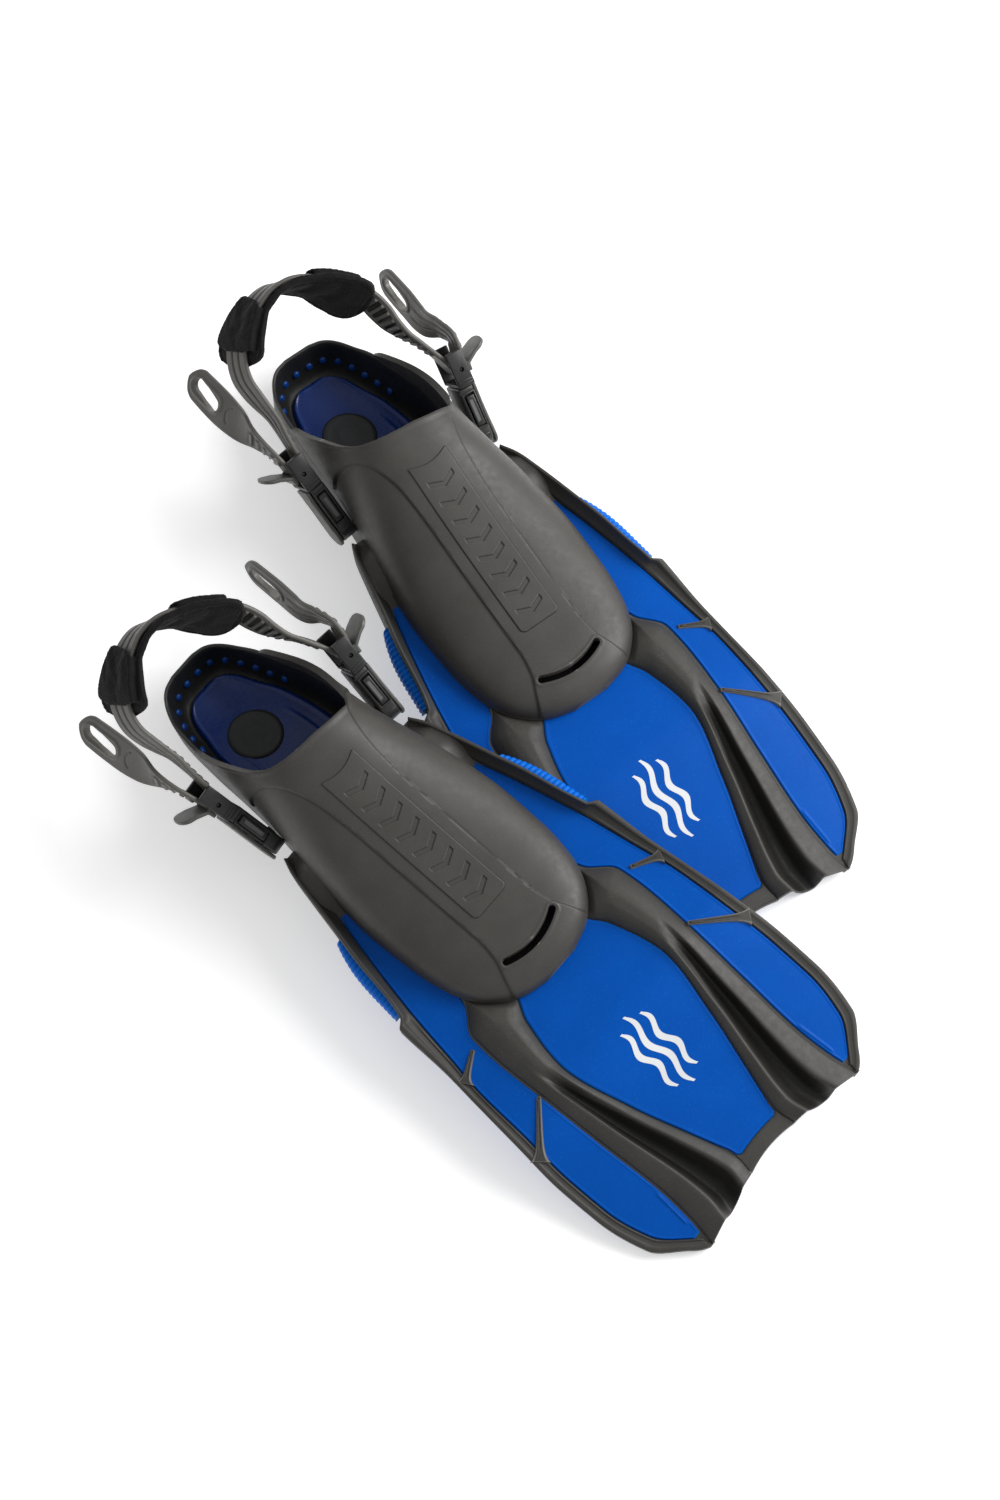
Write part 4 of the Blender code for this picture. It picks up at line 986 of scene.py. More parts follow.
def edge_rail(fin, label, side):
    """Side rail with its crested flange, and the struts that branch off it."""
    inner_u = np.concatenate([np.linspace(RAIL_SPAN[0], 0.246, 90), np.linspace(0.2466, 0.2600, 26),
                              np.linspace(0.2612, RAIL_SPAN[1], 170)])
    shares = np.concatenate([[0.0, 0.04, 0.08], np.linspace(0.13, 0.90, 20), [0.94, 0.97, 1.0]])
    iu, s = np.meshgrid(inner_u, shares, indexing="ij")
    ou = keyed(RAIL_SKEW, iu)
    u = iu + (ou - iu) * s
    v = keyed(RAIL_INNER, iu) + (keyed(RAIL_OUTER, ou) - keyed(RAIL_INNER, iu)) * s
    crest = keyed(RAIL_CREST, ou)
    z = blade_z(u, v)
    bead = 0.0009 * bump((s - 0.10) / 0.12) * smooth((iu - 0.25) / 0.02)
    top = z + 0.0004 + crest * keyed(RAIL_PROFILE, s) + bead
    obj = sheet(fin, label + "_edge_rail_skin", u, side * v, top, z - BLADE_THICK, edge=0.0007, segments=3)
    wear(obj, fin, label + "_edge_rail", "blade_frame")
    for k, (root, tip) in enumerate(STRUTS):
        strut(fin, label, side, k, np.array(root), np.array(tip))


def strut(fin, label, side, number, root, tip):
    """Raised tapering strut with a round dimpled tip and a flared root."""
    way = unit(tip - root)
    across = np.array((-way[1], way[0]))
    length = np.linalg.norm(tip - root)
    start = root - way * 0.0005
    reach = length + 0.0005
    rows = np.concatenate([np.linspace(0.0, 0.90, 44), 1.0 - 0.10 * np.linspace(0.95, 0.0, 12) ** 2])
    a, c = np.meshgrid(rows, -1.0 + 2.0 * clustered(14, (0.04, 0.09)), indexing="ij")
    half = 0.0026 - 0.0010 * a + 0.0042 * np.exp(-a / 0.11)
    nose = np.clip((a * reach - (reach - 0.0018)) / 0.0018, 0.0, 1.0)
    half = half * np.sqrt(np.clip(1.0 - nose ** 2, 0.02, 1.0))
    at = start + (a * reach)[..., None] * way + (c * half)[..., None] * across
    u, v = at[..., 0], at[..., 1]
    border = np.minimum((1.0 - np.abs(c)) * half, (1.0 - a) * reach)
    dimple = 0.0010 * bump(np.linalg.norm(at - (tip - way * 0.0022), axis=-1) / 0.0010)
    rise = STRUT_RISE * (1.0 - 0.35 * a) * np.sqrt(smooth(border / 0.0012)) - dimple
    groove = 0.0005 * bump(c / 0.35) * smooth((0.80 - a) / 0.1) * smooth((a - 0.15) / 0.1)
    z = blade_z(u, v)
    obj = sheet(fin, f"{label}_strut_{number + 1}", u, side * v, z + SKIN_LIFT + rise - groove, z - 0.001,
                sharp=60.0)
    wear(obj, fin, label + "_edge_rail", "blade_frame", stands=False)


def seam_strip(fin, name, node, line, half=0.0028):
    """Dark web inside the blade that closes the seam between two of its pieces."""
    line = np.asarray(line, float)
    c = np.linspace(-half, half, 3)
    u = np.repeat(line[:, :1], 3, axis=1)
    v = line[:, 1:] + c[None, :] * np.sign(line[:, 1:])
    z = blade_z(u, v)
    obj = sheet(fin, name, u, v, z - WEB_TOP, z - WEB_BOTTOM)
    wear(obj, fin, node, "blade_frame", stands=False)


def webs(fin, label, side):
    """Webs between panel, channel and rail, and the fillers at the tip and beside the shoe."""
    arm = np.array(arm_edge()) * (1.0, side)
    seam_strip(fin, label + "_web_arm", label + "_channel", arm)
    along = np.linspace(0.0, 1.0, 80)
    u = RAIL_SPAN[0] + 0.002 + (RAIL_SPAN[1] - RAIL_SPAN[0] - 0.004) * along
    seam_strip(fin, label + "_web_rail", label + "_edge_rail", stack(u, side * keyed(RAIL_INNER, u)))
    station = PANEL_START + (PANEL_END - 0.003 - PANEL_START) * along
    v = keyed(PANEL_HALF, station)
    u = pulled_to_toe(station, v, along)
    seam_strip(fin, label + "_web_panel", label + "_channel", stack(u, side * v), 0.0016)
    for name, node, (first, last), inner, outer in (
            ("tip_filler", "_channel", (0.4846, 0.4940), lambda x: keyed(ARM_OUTER, x) - 0.0010,
             lambda x: np.maximum(keyed(RAIL_INNER, x) + 0.0010, keyed(ARM_OUTER, x) + 0.0012)),
            ("flank_filler", "_edge_rail", (0.1190, 0.1780), lambda x: keyed(HALF_WIDTH, x) - 0.0040,
             lambda x: keyed(RAIL_OUTER, x) - 0.0022)):
        x, s = np.meshgrid(np.linspace(first, last, 60), np.linspace(0.0, 1.0, 16), indexing="ij")
        v = inner(x) + (outer(x) - inner(x)) * s
        z = blade_z(x, v)
        web = (0.0135 * (1.0 - s) ** 1.5 + keyed(RAIL_CREST, x) * s) * smooth((x - 0.118) / 0.020)
        web = web * smooth((0.178 - x) / 0.030) if name == "flank_filler" else 0.0
        obj = sheet(fin, f"{label}_{name}", x, side * v, z - SKIN_LIFT + web, z - WEB_BOTTOM)
        wear(obj, fin, label + node, "pocket" if name == "flank_filler" else "blade_frame",
             stands=False)


def grip_strip(fin, label, side):
    """Soft blue strip with fine cross ribs along the outside of the flange."""
    share, c = np.meshgrid(np.linspace(0.0, 1.0, GRIP_RIBS * 10 + 1), np.linspace(0.0, 1.0, 18),
                           indexing="ij")
    u = GRIP_SPAN[0] + (GRIP_SPAN[1] - GRIP_SPAN[0]) * share
    inner = keyed(RAIL_OUTER, u) - 0.0002
    rib = np.abs(np.cos(share * GRIP_RIBS * math.pi)) ** 0.7
    bulge = GRIP_WIDTH * (0.42 + 0.58 * np.sin(math.pi * share) ** 0.7) + 0.0012 - 0.0010 * (1.0 - rib)
    turn = c * math.pi / 2
    z = blade_z(u, inner)
    v = inner + bulge * np.sin(turn)
    top = z + 0.0010 + (0.0058 + 0.0009 * rib) * np.cos(turn) ** 0.8
    obj = sheet(fin, label + "_grip_strip_skin", u, side * v, top, z - 0.003, sharp=60.0)
    wear(obj, fin, label + "_grip_strip", "grip")


# Strap ---------------------------------------------------------------------------------------

TILT = math.radians(STRAP_TILT)
BACK_UP = np.array((-math.cos(TILT), 0.0, math.sin(TILT)))
ACROSS = np.array((math.sin(TILT), 0.0, math.cos(TILT)))
OUT = np.array((0.0, 1.0, 0.0))


def strap_point(a, b, c=0.0):
    """Point in the strap's plane, measured from the posts' axis."""
    return POST + BACK_UP * a + OUT * b + ACROSS * c


def buckle_point(side, a, b, c=0.0):
    """Point on a buckle, which splays outwards from its post."""
    splay = math.radians(BUCKLE_SPLAY)
    from_post = b - SPLAY_FROM
    return strap_point(a * math.cos(splay) - from_post * math.sin(splay),
                       side * (SPLAY_FROM + a * math.sin(splay) + from_post * math.cos(splay)), c)


def leaning(a, ahead):
    """Across direction of the loop where it has reached a, square to its way ahead."""
    far = float(smooth(0.5 - 0.5 * ahead[0] / np.linalg.norm(ahead)))
    lean = STRAP_LEAN[0] + (STRAP_LEAN[1] - STRAP_LEAN[0]) * far
    angle = math.radians(lean) * float(smooth((a - LEAN_FROM[0]) / (LEAN_FROM[1] - LEAN_FROM[0])))
    across = ACROSS * math.cos(angle) + OUT * math.sin(angle)
    way = unit(BACK_UP * ahead[0] + OUT * ahead[1])
    return unit(across - way * (across @ way))


def loop_path(start=0.0):
    """Middle line of the loop from one side to the other, as far as it lies beyond start."""
    half_path = [p for p in LOOP_PATH if p[0] > start]
    path = np.array([(a, -b) for a, b in half_path] + list(reversed(half_path[:-1])))
    middle, reach, depth = STRAP_TUCK
    path[:, 1] -= depth * bump((path[:, 0] - middle) / reach) * (path[:, 1] > 0.0)
    path[:, 1] += STRAP_SWAY * smooth((path[:, 0] - SWAY_FROM[0]) / (SWAY_FROM[1] - SWAY_FROM[0]))
    return path


def strap_path():
    """Knots of the strap's middle line with their across directions, half widths and zone."""
    knots = []
    for side in (-1, 1):
        run = []
        lean = math.radians(TAB_LEAN[side])
        for k in range(len(TAB_PATH) - 1, -1, -1):
            u, v, z = TAB_PATH[k]
            share = min(1.0, k / 2.0)
            leaned = np.array((0.0, -side * math.sin(lean * share), math.cos(lean * share)))
            across = unit(ACROSS * (1.0 - share) + leaned * share)
            centre = np.array((u, side * v, z)) + np.array(TAB_SHIFT[side]) * share
            run.append((centre, across, TAB_WIDTH[k]))
        for degrees in np.linspace(90.0, 270.0, 7):
            angle = math.radians(degrees)
            centre = buckle_point(side, PIN_A + TURN_RADIUS * math.cos(angle),
                                  PIN_B + TURN_RADIUS * math.sin(angle))
            run.append((centre, ACROSS, STRAP_HALF))
        if side > 0:
            run.reverse()
        knots.append(run)
    path = loop_path()
    ahead = np.gradient(path, axis=0)
    loop = [(strap_point(*p), leaning(p[0], way), STRAP_HALF) for p, way in zip(path, ahead)]
    return knots[0] + loop + knots[1]


def strap_section(count=33):
    """Round the strap's section: share across, shift of the rounded corners, and which face."""
    flat, ones, zeros = np.linspace(-1.0, 1.0, count), np.ones(count), np.zeros(count)
    bend = np.radians(np.linspace(90.0, -90.0, 9)[1:-1])
    corner = STRAP_CORNER * np.cos(bend)
    x = np.concatenate([flat, np.ones(len(bend)), flat[::-1], -np.ones(len(bend))])
    dx = np.concatenate([zeros, corner, zeros, -corner])
    front = np.concatenate([ones, np.sin(bend), -ones, -np.sin(bend)])
    return x, dx, front


def strap(fin):
    """Grey strap with two grooves outside, a toothed ladder inside and finger loops at its ends."""
    path = strap_path()
    centres = np.array([p for p, across, half in path])
    length = np.concatenate([[0.0], np.cumsum(np.linalg.norm(np.diff(centres, axis=0), axis=1))])
    at = np.linspace(0.0, length[-1], 760)
    centre = spline(length, centres, at)
    across = unit(spline(length, np.array([a for p, a, half in path]), at))
    half = keyed(list(zip(length, [h for p, a, h in path])), at)
    ahead = unit(np.gradient(centre, axis=0))
    across = unit(across - ahead * np.sum(ahead * across, axis=1, keepdims=True))
    face = np.cross(ahead, across)
    face *= 1.0 if face[30, 1] < 0.0 else -1.0
    tip = np.minimum(at, length[-1] - at)
    half = half * np.sqrt(np.clip(1.0 - (1.0 - np.minimum(tip / 0.006, 1.0)) ** 2, 0.02, 1.0))

    x, dx, front = strap_section()
    along, xs = np.meshgrid(at, x, indexing="ij")
    from_end = np.minimum(along, length[-1] - along)
    raised = np.tile(front * STRAP_THICK / 2, (len(at), 1))
    toothed = front > 0.99
    grooved = front < -0.99
    turn_at = length[len(TAB_PATH) + 3]
    hairpin = np.abs(from_end - turn_at)
    on_loop = from_end > turn_at
    rungs = smooth((np.cos(from_end / RUNG_PITCH * math.tau) + 0.1) / 0.5)
    rungs *= smooth((0.80 - np.abs(xs)) / 0.12)
    near = smooth((hairpin - 0.015) / 0.003) * smooth((np.where(on_loop, 0.080, 0.050) - hairpin) / 0.003)
    raised += toothed * RUNG_RISE * rungs * near
    lanes = bump((np.abs(xs) - 0.36) / 0.13) * smooth((from_end - GROOVE_START) / 0.006)
    raised += grooved * GROOVE_RISE * lanes
    hole_u = centre[:, None, 0] - TAB_SHIFT[1][0] * (at > length[-1] / 2)[:, None]
    hole_c = xs * half[:, None]
    first, last, hole_half = LOOP_HOLE
    to_hole = segment_distance(stack(hole_u, hole_c), (first + hole_half, 0.0), (last - hole_half, 0.0))
    to_hole -= hole_half
    rim = 0.0010 * bump((to_hole - 0.0022) / 0.0018) * (from_end < 0.06)
    mark = np.abs(np.hypot(hole_u - 0.006, hole_c - 0.001) - 0.0078) < 0.0007
    mark = mark & (hole_u < 0.003) & (from_end < 0.07)
    raised += (toothed * 1.0 - grooved * 1.0) * rim - toothed * 0.0006 * mark
    rings = (centre[:, None] + across[:, None] * (xs * (half[:, None] - STRAP_CORNER) + dx)[..., None]
             + face[:, None] * raised[..., None])
    obj = tube(fin["prefix"] + "strap_skin", rings, sharp=45.0)
    # painted shade in the gaps between the ladder's rungs and along the two grooves outside
    windows = toothed * near * (1.0 - rungs) * (np.abs(xs) < 0.72) * np.where(on_loop, 1.0, 0.55)
    paint_groove_shade(obj, np.maximum(windows, 0.45 * grooved * lanes))
    for side in (-1, 1):
        combine(obj, finger_hole(side))
    smooth_shade(obj, 45.0)
    wear(obj, fin, "strap", "strap")


def finger_hole(side):
    """Tool for the long round-ended hole near a free end."""
    start, end, half = LOOP_HOLE
    lean = math.radians(TAB_LEAN[side])
    across = np.array((0.0, -side * math.sin(lean), math.cos(lean)))
    through = np.array((0.0, side * math.cos(lean), math.sin(lean)))
    middle = np.array((0.0, side * HOLE_MIDDLE[0], HOLE_MIDDLE[1])) + np.array(TAB_SHIFT[side])
    outline = []
    for centre_u, first in ((end - half, -90.0), (start + half, 90.0)):
        for degrees in np.linspace(first, first + 180.0, 19):
            angle = math.radians(degrees)
            outline.append(middle + np.array((centre_u + half * math.cos(angle), 0.0, 0.0))
                           + across * half * math.sin(angle) - through * 0.012)
    return prism("hole_tool", outline, through * 0.024)


# Heel pad ------------------------------------------------------------------------------------

def pad_rows(count):
    """Middle line of the pad, its outward directions and its place from end to end."""
    points = loop_path(PAD_START)
    length = np.concatenate([[0.0], np.cumsum(np.linalg.norm(np.diff(points, axis=0), axis=1))])
    at = np.linspace(PAD_TRIM, length[-1], count)
    line = spline(length, points, at)
    ahead = unit(np.gradient(line, axis=0))
    across = np.array([leaning(a, way) for a, way in zip(line[:, 0], ahead)])
    face = -unit(np.cross(BACK_UP * ahead[:, :1] + OUT * ahead[:, 1:], across))
    centre = POST + BACK_UP * line[:, :1] + OUT * line[:, 1:]
    return centre, face, across, 2.0 * (at - PAD_TRIM) / (length[-1] - PAD_TRIM) - 1.0


def pad_block(name, low, high, c_low, c_high, span, crown):
    """Part of the sleeve between two depths and two widths, in two halves if it starts off centre."""
    centre, face, sideways, share = pad_rows(90)
    keep = (np.abs(share) >= span[0]) & (np.abs(share) <= span[1])
    split = span[0] > 0.0
    pieces = []
    for use in (keep & (share < 0.0), keep & (share >= 0.0)) if split else (keep,):
        s, c = np.meshgrid(share[use], np.linspace(0.0, 1.0, 15), indexing="ij")
        half = keyed(PAD_HALF, np.abs(s))
        inner_end = smooth((np.abs(s) - span[0]) / 0.10 + 0.35) if split else 1.0
        outer_end = smooth((span[1] - np.abs(s)) / 0.12 + 0.30) if split else 1.0
        ends = np.minimum(inner_end, outer_end)
        across = (c_low(half) + (c_high(half) - c_low(half)) * c) * (1.0 if crown == 0.0 else ends)
        swell = crown * np.clip(1.0 - (across / half) ** 2, 0.0, 1.0) ** 0.5
        base = centre[use][:, None] + sideways[use][:, None] * across[..., None]
        top = base + face[use][:, None] * (high + swell * (high > 0.0))[..., None]
        bottom = base + face[use][:, None] * (low - swell * (low < 0.0))[..., None]
        pieces.append(slab(f"{name}_{len(pieces)}", top, bottom))
    return pieces


def heel_pad(fin):
    """Padded sleeve round the strap, puffed by a short cloth simulation, with pressed seams."""
    outside = STRAP_THICK / 2 + GAP
    inside = -outside
    name = fin["prefix"] + "heel_pad_skin"
    edge = STRAP_HALF + 0.0008
    blocks = pad_block(name, inside - PAD_THICK + 0.0018, inside, lambda h: -h, lambda h: h,
                       (0.0, 1.0), 0.0012)
    blocks += pad_block(name + "_cover", outside, outside + 0.0014, lambda h: -0.80 * h,
                        lambda h: 0.80 * h, (0.26, 0.84), 0.0010)
    for sign in (-1, 1):
        blocks += pad_block(f"{name}_wall{sign}", inside - 0.001, outside + 0.0010,
                            lambda h, sign=sign: sign * np.minimum(edge, 0.80 * h),
                            lambda h, sign=sign: sign * 0.80 * h, (0.32, 0.78), 0.0)
    obj = merged(name, blocks)
    remesh = obj.modifiers.new("remesh", "REMESH")
    remesh.mode = "VOXEL"
    remesh.voxel_size = PAD_VOXEL
    evaluated(obj)
    relax(obj, 3)
    puff(obj)
    press_seams(obj)
    subdivide = obj.modifiers.new("subdivision", "SUBSURF")
    subdivide.levels = 1
    subdivide.render_levels = 1
    evaluated(obj)
    smooth_shade(obj, 180.0)
    wear(obj, fin, "heel_pad", "heel_pad")


def relax(obj, times):
    """Smooth a remeshed surface."""
    modifier = obj.modifiers.new("smooth", "SMOOTH")
    modifier.factor = 0.5
    modifier.iterations = times
    evaluated(obj)


def puff(obj):
    """Swell a closed pad as cloth under pressure, and cap how far each point may move."""
    rest = np.array([v.co for v in obj.data.vertices])
    cloth = obj.modifiers.new("cloth", "CLOTH")
    cloth.settings.use_pressure = True
    cloth.settings.uniform_pressure_force = PUFF_PRESSURE
    cloth.settings.effector_weights.gravity = 0.0
    cloth.settings.quality = 5
    cloth.settings.shrink_min = -0.02
    scene = bpy.context.scene
    for step in range(1, PUFF_FRAMES + 1):
        scene.frame_set(step)
    bpy.context.view_layer.update()
    mesh = bpy.data.meshes.new_from_object(obj.evaluated_get(bpy.context.evaluated_depsgraph_get()))
    moved = np.array([v.co for v in mesh.vertices]) - rest
    distance = np.linalg.norm(moved, axis=1, keepdims=True)
    moved *= np.minimum(1.0, PUFF_LIMIT / np.maximum(distance, 1e-9))
    obj.modifiers.remove(cloth)
    bpy.data.meshes.remove(mesh)
    obj.data.vertices.foreach_set("co", (rest + moved).ravel())
    obj.data.update()
    scene.frame_set(1)


def press_seams(obj):
    """Press a seam line all round, a little inside the pad's edge."""
    points = np.array([v.co for v in obj.data.vertices])
    normal = np.array([v.normal for v in obj.data.vertices])
    centre, face, sideways, share = pad_rows(80)
    away = points[:, None] - centre[None]
    aside = np.sum(away * sideways[None], axis=-1)
    nearest = np.argmin((away ** 2).sum(-1) - aside ** 2, axis=1)
    across = aside[np.arange(len(points)), nearest]
    half = keyed(PAD_HALF, np.abs(share[nearest]))
    from_end = (1.0 - np.abs(share[nearest])) * 0.062
    border = np.minimum(half - np.abs(across), from_end)
    seam = bump((border - 0.0036) / 0.0010)
    out_of_plane = np.abs(np.sum(normal * face[nearest], axis=1))
    points -= normal * (0.0007 * seam * smooth((out_of_plane - 0.5) / 0.3))[:, None]
    obj.data.vertices.foreach_set("co", points.ravel())
    obj.data.update()


# Buckles -------------------------------------------------------------------------------------

def buckle_matrix(side):
    """Matrix from buckle coordinates (a, b, c) to the fin's."""
    origin = buckle_point(side, 0.0, 0.0)
    columns = [buckle_point(side, 1.0, 0.0) - origin, buckle_point(side, 0.0, 1.0) - origin, ACROSS]
    matrix = Matrix.Identity(4)
    for k, column in enumerate(columns):
        matrix.col[k][:3] = column
    return Matrix.Translation(origin) @ matrix


def plate(name, outline, b_span, **options):
    """Flat block in buckle coordinates from an outline of (a, c) points."""
    outline = np.asarray(outline, float)
    points = stack(outline[:, 0], np.full(len(outline), b_span[0]), outline[:, 1])
    return prism(name, points, (0.0, b_span[1] - b_span[0], 0.0), **options)


def block(name, a_span, b_span, c_span, **options):
    """Rectangular block in buckle coordinates."""
    (a0, a1), (c0, c1) = a_span, c_span
    return plate(name, [(a0, c0), (a1, c0), (a1, c1), (a0, c1)], b_span, **options)


def round_nose(a_nose, a_back, half, waist=0.0):
    """Outline with a rounded nose towards the toe, a drawn-in waist and a square back."""
    centre = a_nose + half * NOSE_ROUND
    share = np.linspace(0.1, 0.9, 7)
    flank = stack(a_back + (centre - a_back) * share, half - waist * bump((share - 0.45) / 0.5))
    angle = np.radians(np.linspace(90.0, 270.0, 17))
    nose = stack(centre + half * NOSE_ROUND * np.cos(angle), half * np.sin(angle))
    back = [(a_back, -half), (a_back, half)]
    return np.concatenate([back, flank, nose, flank[::-1] * (1.0, -1.0)])


def arc_strip(middle, radius, width, first, last, count=20):
    """Outline of a curved strip, as (a, c) points."""
    angle = np.radians(np.linspace(first, last, count))
    way = stack(np.cos(angle), np.sin(angle))
    return np.concatenate([middle + (radius + width) * way, (middle + radius * way)[::-1]])


def joined(name, objects):
    """Several objects as one, with smooth shading."""
    obj = merged(name, objects)
    smooth_shade(obj)
    return obj


def on_side(way, near, far):
    """Span across the buckle from near to far, on one side of its middle."""
    return sorted((way * near, way * far))


def pin_tool():
    """Tool for the hole that the lever's pin goes through, with a gap round the pin."""
    radius = PIN_RADIUS + GAP
    return turned("pin_tool", (PIN_A, PIN_B, -0.02), (PIN_A, PIN_B, 0.02), [(0.0, radius), (1.0, radius)])


def fitted(obj, fin, side, node, look, stands=True):
    """Place a piece made in buckle coordinates."""
    obj.data.transform(buckle_matrix(side))
    if side < 0:
        obj.data.flip_normals()
    wear(obj, fin, node, look, stands=stands)


def buckle(fin, label, side):
    """Post, socket, cover, frame, buttons, lever and pin of one side."""
    name = f"{fin['prefix']}{label}_"
    post = turned(name + "strap_post_skin", strap_point(0.0, side * 0.0524), strap_point(0.0, side * 0.0590),
                  [(0.0, 0.0033), (0.10, 0.0033), (0.14, POST_RADIUS), (0.86, POST_RADIUS),
                   (0.95, 0.0027), (1.0, 0.0022)])
    wear(post, fin, label + "_strap_post", "sole")
    fitted(buckle_socket(name), fin, side, label + "_buckle_socket", "buckle")

    cover = plate(name + "socket_cover_skin", round_nose(-0.0140, 0.0330, 0.0105, 0.0012),
                  (0.0654, 0.0680), edge=0.0009, segments=3)
    for way in (1, -1):
        arc = arc_strip((0.014, way * 0.0290), 0.0232, 0.0007, -way * 90 - 38, -way * 90 + 38)
        combine(cover, plate("line_tool", arc, (0.0674, 0.0700)))
    smooth_shade(cover)
    fitted(cover, fin, side, label + "_socket_cover", "buckle_trim")

    for level, way in (("upper", 1), ("lower", -1)):
        button = block(name + level + "_release_button_skin", (0.0048, 0.0272), (0.0567, 0.0625),
                       on_side(way, 0.0100, 0.0138), edge=0.0007, segments=3)
        dish = block("dish_tool", (0.0080, 0.0240), (0.0582, 0.0610), on_side(way, 0.0134, 0.0150))
        combine(button, dish)
        smooth_shade(button)
        fitted(button, fin, side, f"{label}_{level}_release_button", "buckle")

    fitted(buckle_frame(name), fin, side, label + "_buckle_frame", "buckle")
    pin = turned(name + "lever_pin_skin", (PIN_A, PIN_B, -0.0136), (PIN_A, PIN_B, 0.0136),
                 [(0.0, 0.0008), (0.015, PIN_RADIUS), (0.985, PIN_RADIUS), (1.0, 0.0008)], sides=20)
    fitted(pin, fin, side, label + "_lever_pin", "pin")
    lever(fin, label, side, name)


def buckle_socket(name):
    """Socket with its bore for the post, two rimmed windows, a groove and ribs on its nose."""
    socket = plate(name + "socket_body", round_nose(-0.0125, 0.0335, 0.0122), SOCKET_B,
                   edge=0.0013, segments=3)
    parts = [socket]
    combine(socket, turned("post_tool", (0.0, 0.050, 0.0), (0.0, 0.060, 0.0),
                           [(0.0, POST_RADIUS + GAP), (1.0, POST_RADIUS + GAP)]))
    for way in (1, -1):
        combine(socket, block("window_tool", WINDOW_A, WINDOW_B, on_side(way, 0.0075, 0.0130)))
        combine(socket, block("groove_tool", (0.0296, 0.0306), (0.050, 0.070),
                              on_side(way, 0.0116, 0.0140)))
        rim = block("window_rim", (0.0024, 0.0296), (0.0546, 0.0646), on_side(way, 0.0112, 0.0125))
        combine(rim, block("rim_tool", WINDOW_A, WINDOW_B, (-0.02, 0.02)))
        rounded(rim, 0.0003, 2)
        parts.append(rim)
        for rib in range(3):
            a = -0.0030 - rib * 0.0026
            height = on_side(way, 0.0108 - rib * 0.0014, 0.0124 - rib * 0.0016)
            parts.append(block("nose_rib", (a - 0.0006, a + 0.0006), (0.0560, 0.0630), height, edge=0.0003))
    smooth_shade(socket)
    return joined(name + "buckle_socket_skin", parts)


def buckle_frame(name):
    """Frame of a bridge and two cheeks that hold the pin, with two ribs on each cheek."""
    front, bridge, ends = FRAME_A
    inner, outer = FRAME_C
    outline = [(front, -outer), (ends, -outer), (ends, -inner), (bridge, -inner),
               (bridge, inner), (ends, inner), (ends, outer), (front, outer)]
    body = plate(name + "frame_body", outline, FRAME_B, edge=0.0008, segments=3)
    combine(body, pin_tool())
    parts = [body]
    for way in (1, -1):
        for a in (0.0362, 0.0384):
            parts.append(block("collar_rib", (a - 0.0005, a + 0.0005), (0.0555, 0.0658),
                               on_side(way, 0.0146, 0.0154), edge=0.0002))
    smooth_shade(body)
    return joined(name + "buckle_frame_skin", parts)


def lever(fin, label, side, name):
    """Thumb lever with a rounded tab that stands out from the buckle and has a crescent pressed in."""
    profile = np.array(LEVER_PROFILE)
    root, tip = profile[1], profile[3]
    way = unit(tip - root)
    reach = (profile - root) @ way
    share = np.clip(reach / reach.max(), 0.0, 1.0)
    rings = []
    for s in np.linspace(-1.0, 1.0, 33):
        back = TAB_ROUND * smooth((share - 0.35) / 0.65) * (1.0 - math.sqrt(max(0.0, 1.0 - abs(s) ** 2.6)))
        waist = 1.0 - 0.08 * bump((share - 0.30) / 0.30)
        at = profile - way * back[:, None]
        rings.append(stack(at[:, 0], at[:, 1], LEVER_HALF * s * waist))
    body = tube(name + "tension_lever_skin", np.array(rings), edge=0.0006, segments=3, bevel_angle=30.0)
    for side_way in (-1, 1):
        ear = block("ear_tool", (0.0437, 0.0492), (0.0590, 0.0685), on_side(side_way, 0.0104, 0.0116))
        combine(body, ear, "UNION")
    combine(body, pin_tool())
    tool = plate("crescent_tool", arc_strip((0.0, 0.0), 0.0046, 0.0011, -75, 75), (-0.0007, 0.0040))
    middle = 0.5 * (profile[4] + profile[5]) - 0.0045 * way
    turn = Matrix(((way[0], -way[1], 0.0), (way[1], way[0], 0.0), (0.0, 0.0, 1.0))).to_4x4()
    tool.data.transform(Matrix.Translation((middle[0], middle[1], 0.0)) @ turn)
    combine(body, tool)
    smooth_shade(body)
    fitted(body, fin, side, label + "_tension_lever", "buckle_trim")


# The two fins --------------------------------------------------------------------------------

def placement(heel, heading, roll=0.0, pitch=0.0):
    """Matrix from fin coordinates to the floor, turning about the heel."""
    turn = Matrix.Rotation(math.radians(heading), 4, "Z")
    return Matrix.Translation(heel) @ turn @ Matrix.Rotation(math.radians(pitch), 4, "Y") \
        @ Matrix.Rotation(math.radians(roll), 4, "X")


def build_fin(fin):
    """All the pieces of one fin."""
    foot_pocket(fin)
    instep_label(fin)
    heel_plate(fin)
    insole(fin)
    center_panel(fin)
    strap(fin)
    heel_pad(fin)
    for label, side in (("outer", fin["outer"]), ("inner", -fin["outer"])):
        side_panel(fin, label, side)
        channel(fin, label, side)
        edge_rail(fin, label, side)
        grip_strip(fin, label, side)
        webs(fin, label, side)
        buckle(fin, label, side)


# Studio --------------------------------------------------------------------------------------

CAMERA_AZIMUTH = -36.5            # degrees
CAMERA_ELEVATION = 69.0
CAMERA_AIM = Vector((0.0160, -0.0033, 0.0632))
CAMERA_DISTANCE = 2.75
PIXELS_PER_METRE = 1504.0
SENSOR = 36.0


def camera_axes():
    """Right, up and back directions of the camera."""
    a, e = math.radians(CAMERA_AZIMUTH), math.radians(CAMERA_ELEVATION)
    back = Vector((math.sin(a) * math.cos(e), -math.cos(a) * math.cos(e), math.sin(e)))
    right = Vector((math.cos(a), math.sin(a), 0.0))
    return right, back.cross(right), back


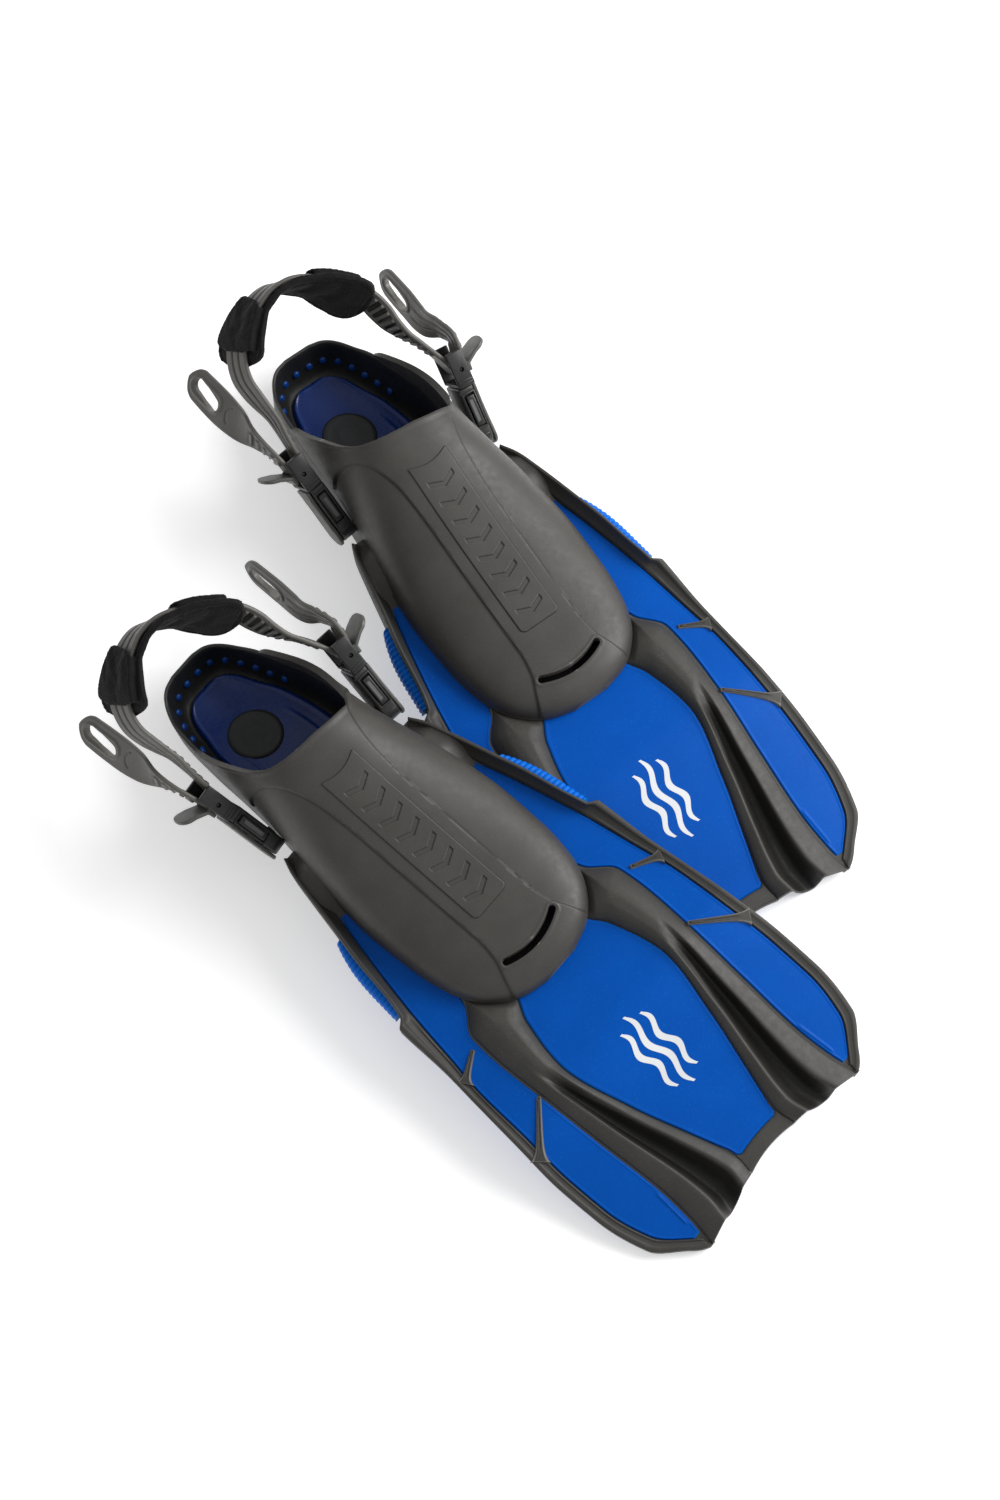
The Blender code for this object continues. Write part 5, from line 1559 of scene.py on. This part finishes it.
def camera():
    """Camera at the photograph's angle."""
    right, up, back = camera_axes()
    data = bpy.data.cameras.new("camera")
    data.sensor_width = SENSOR
    data.lens = SENSOR * PIXELS_PER_METRE * CAMERA_DISTANCE / max(PHOTO_SIZE)
    data.clip_start, data.clip_end = 0.05, 20.0
    obj = bpy.data.objects.new("camera", data)
    obj.rotation_mode = "QUATERNION"
    obj.location = CAMERA_AIM + back * CAMERA_DISTANCE
    obj.rotation_quaternion = (-back).to_track_quat("-Z", "Y")
    bpy.context.scene.collection.objects.link(obj)
    bpy.context.scene.camera = obj


def area_light(name, direction, distance, size, energy):
    """Square soft light that faces the fins from a direction."""
    data = bpy.data.lights.new(name, "AREA")
    data.size = size
    data.energy = energy
    obj = bpy.data.objects.new(name, data)
    direction = Vector(direction).normalized()
    obj.location = CAMERA_AIM + direction * distance
    obj.rotation_mode = "QUATERNION"
    obj.rotation_quaternion = (-direction).to_track_quat("-Z", "Y")
    bpy.context.scene.collection.objects.link(obj)


def studio():
    """Pale floor, soft overall light and a large soft box above the upper right."""
    half, z = 4.0, -0.0004
    floor = build("floor", [(-half, -half, z), (half, -half, z), (half, half, z), (-half, half, z)],
                  [[0, 1, 2, 3]])
    material = bpy.data.materials.new("floor_paper")
    material.use_nodes = True
    shader = material.node_tree.nodes["Principled BSDF"]
    shader.inputs["Base Color"].default_value = (0.92, 0.92, 0.92, 1.0)
    shader.inputs["Emission Color"].default_value = (1.0, 1.0, 1.0, 1.0)
    shader.inputs["Emission Strength"].default_value = 0.42
    shader.inputs["Roughness"].default_value = 0.9
    shader.inputs["Specular IOR Level"].default_value = 0.1
    floor.data.materials.append(material)
    world = bpy.data.worlds.new("studio")
    world.use_nodes = True
    background = world.node_tree.nodes["Background"]
    background.inputs["Color"].default_value = (1.0, 1.0, 1.0, 1.0)
    background.inputs["Strength"].default_value = 0.46
    bpy.context.scene.world = world
    right, up, back = camera_axes()
    area_light("key", back * 0.75 + right * 1.25 + up * 0.75, 2.2, 1.5, 56.0)
    bpy.context.scene.view_settings.view_transform = "Standard"


for which, outer_side, place in (
        ("right_", 1, placement(RIGHT_HEEL, RIGHT_HEADING)),
        ("left_", -1, placement(LEFT_HEEL, LEFT_HEADING, LEFT_ROLL, LEFT_PITCH))):
    build_fin({"prefix": which, "outer": outer_side, "place": place})
studio()
camera()
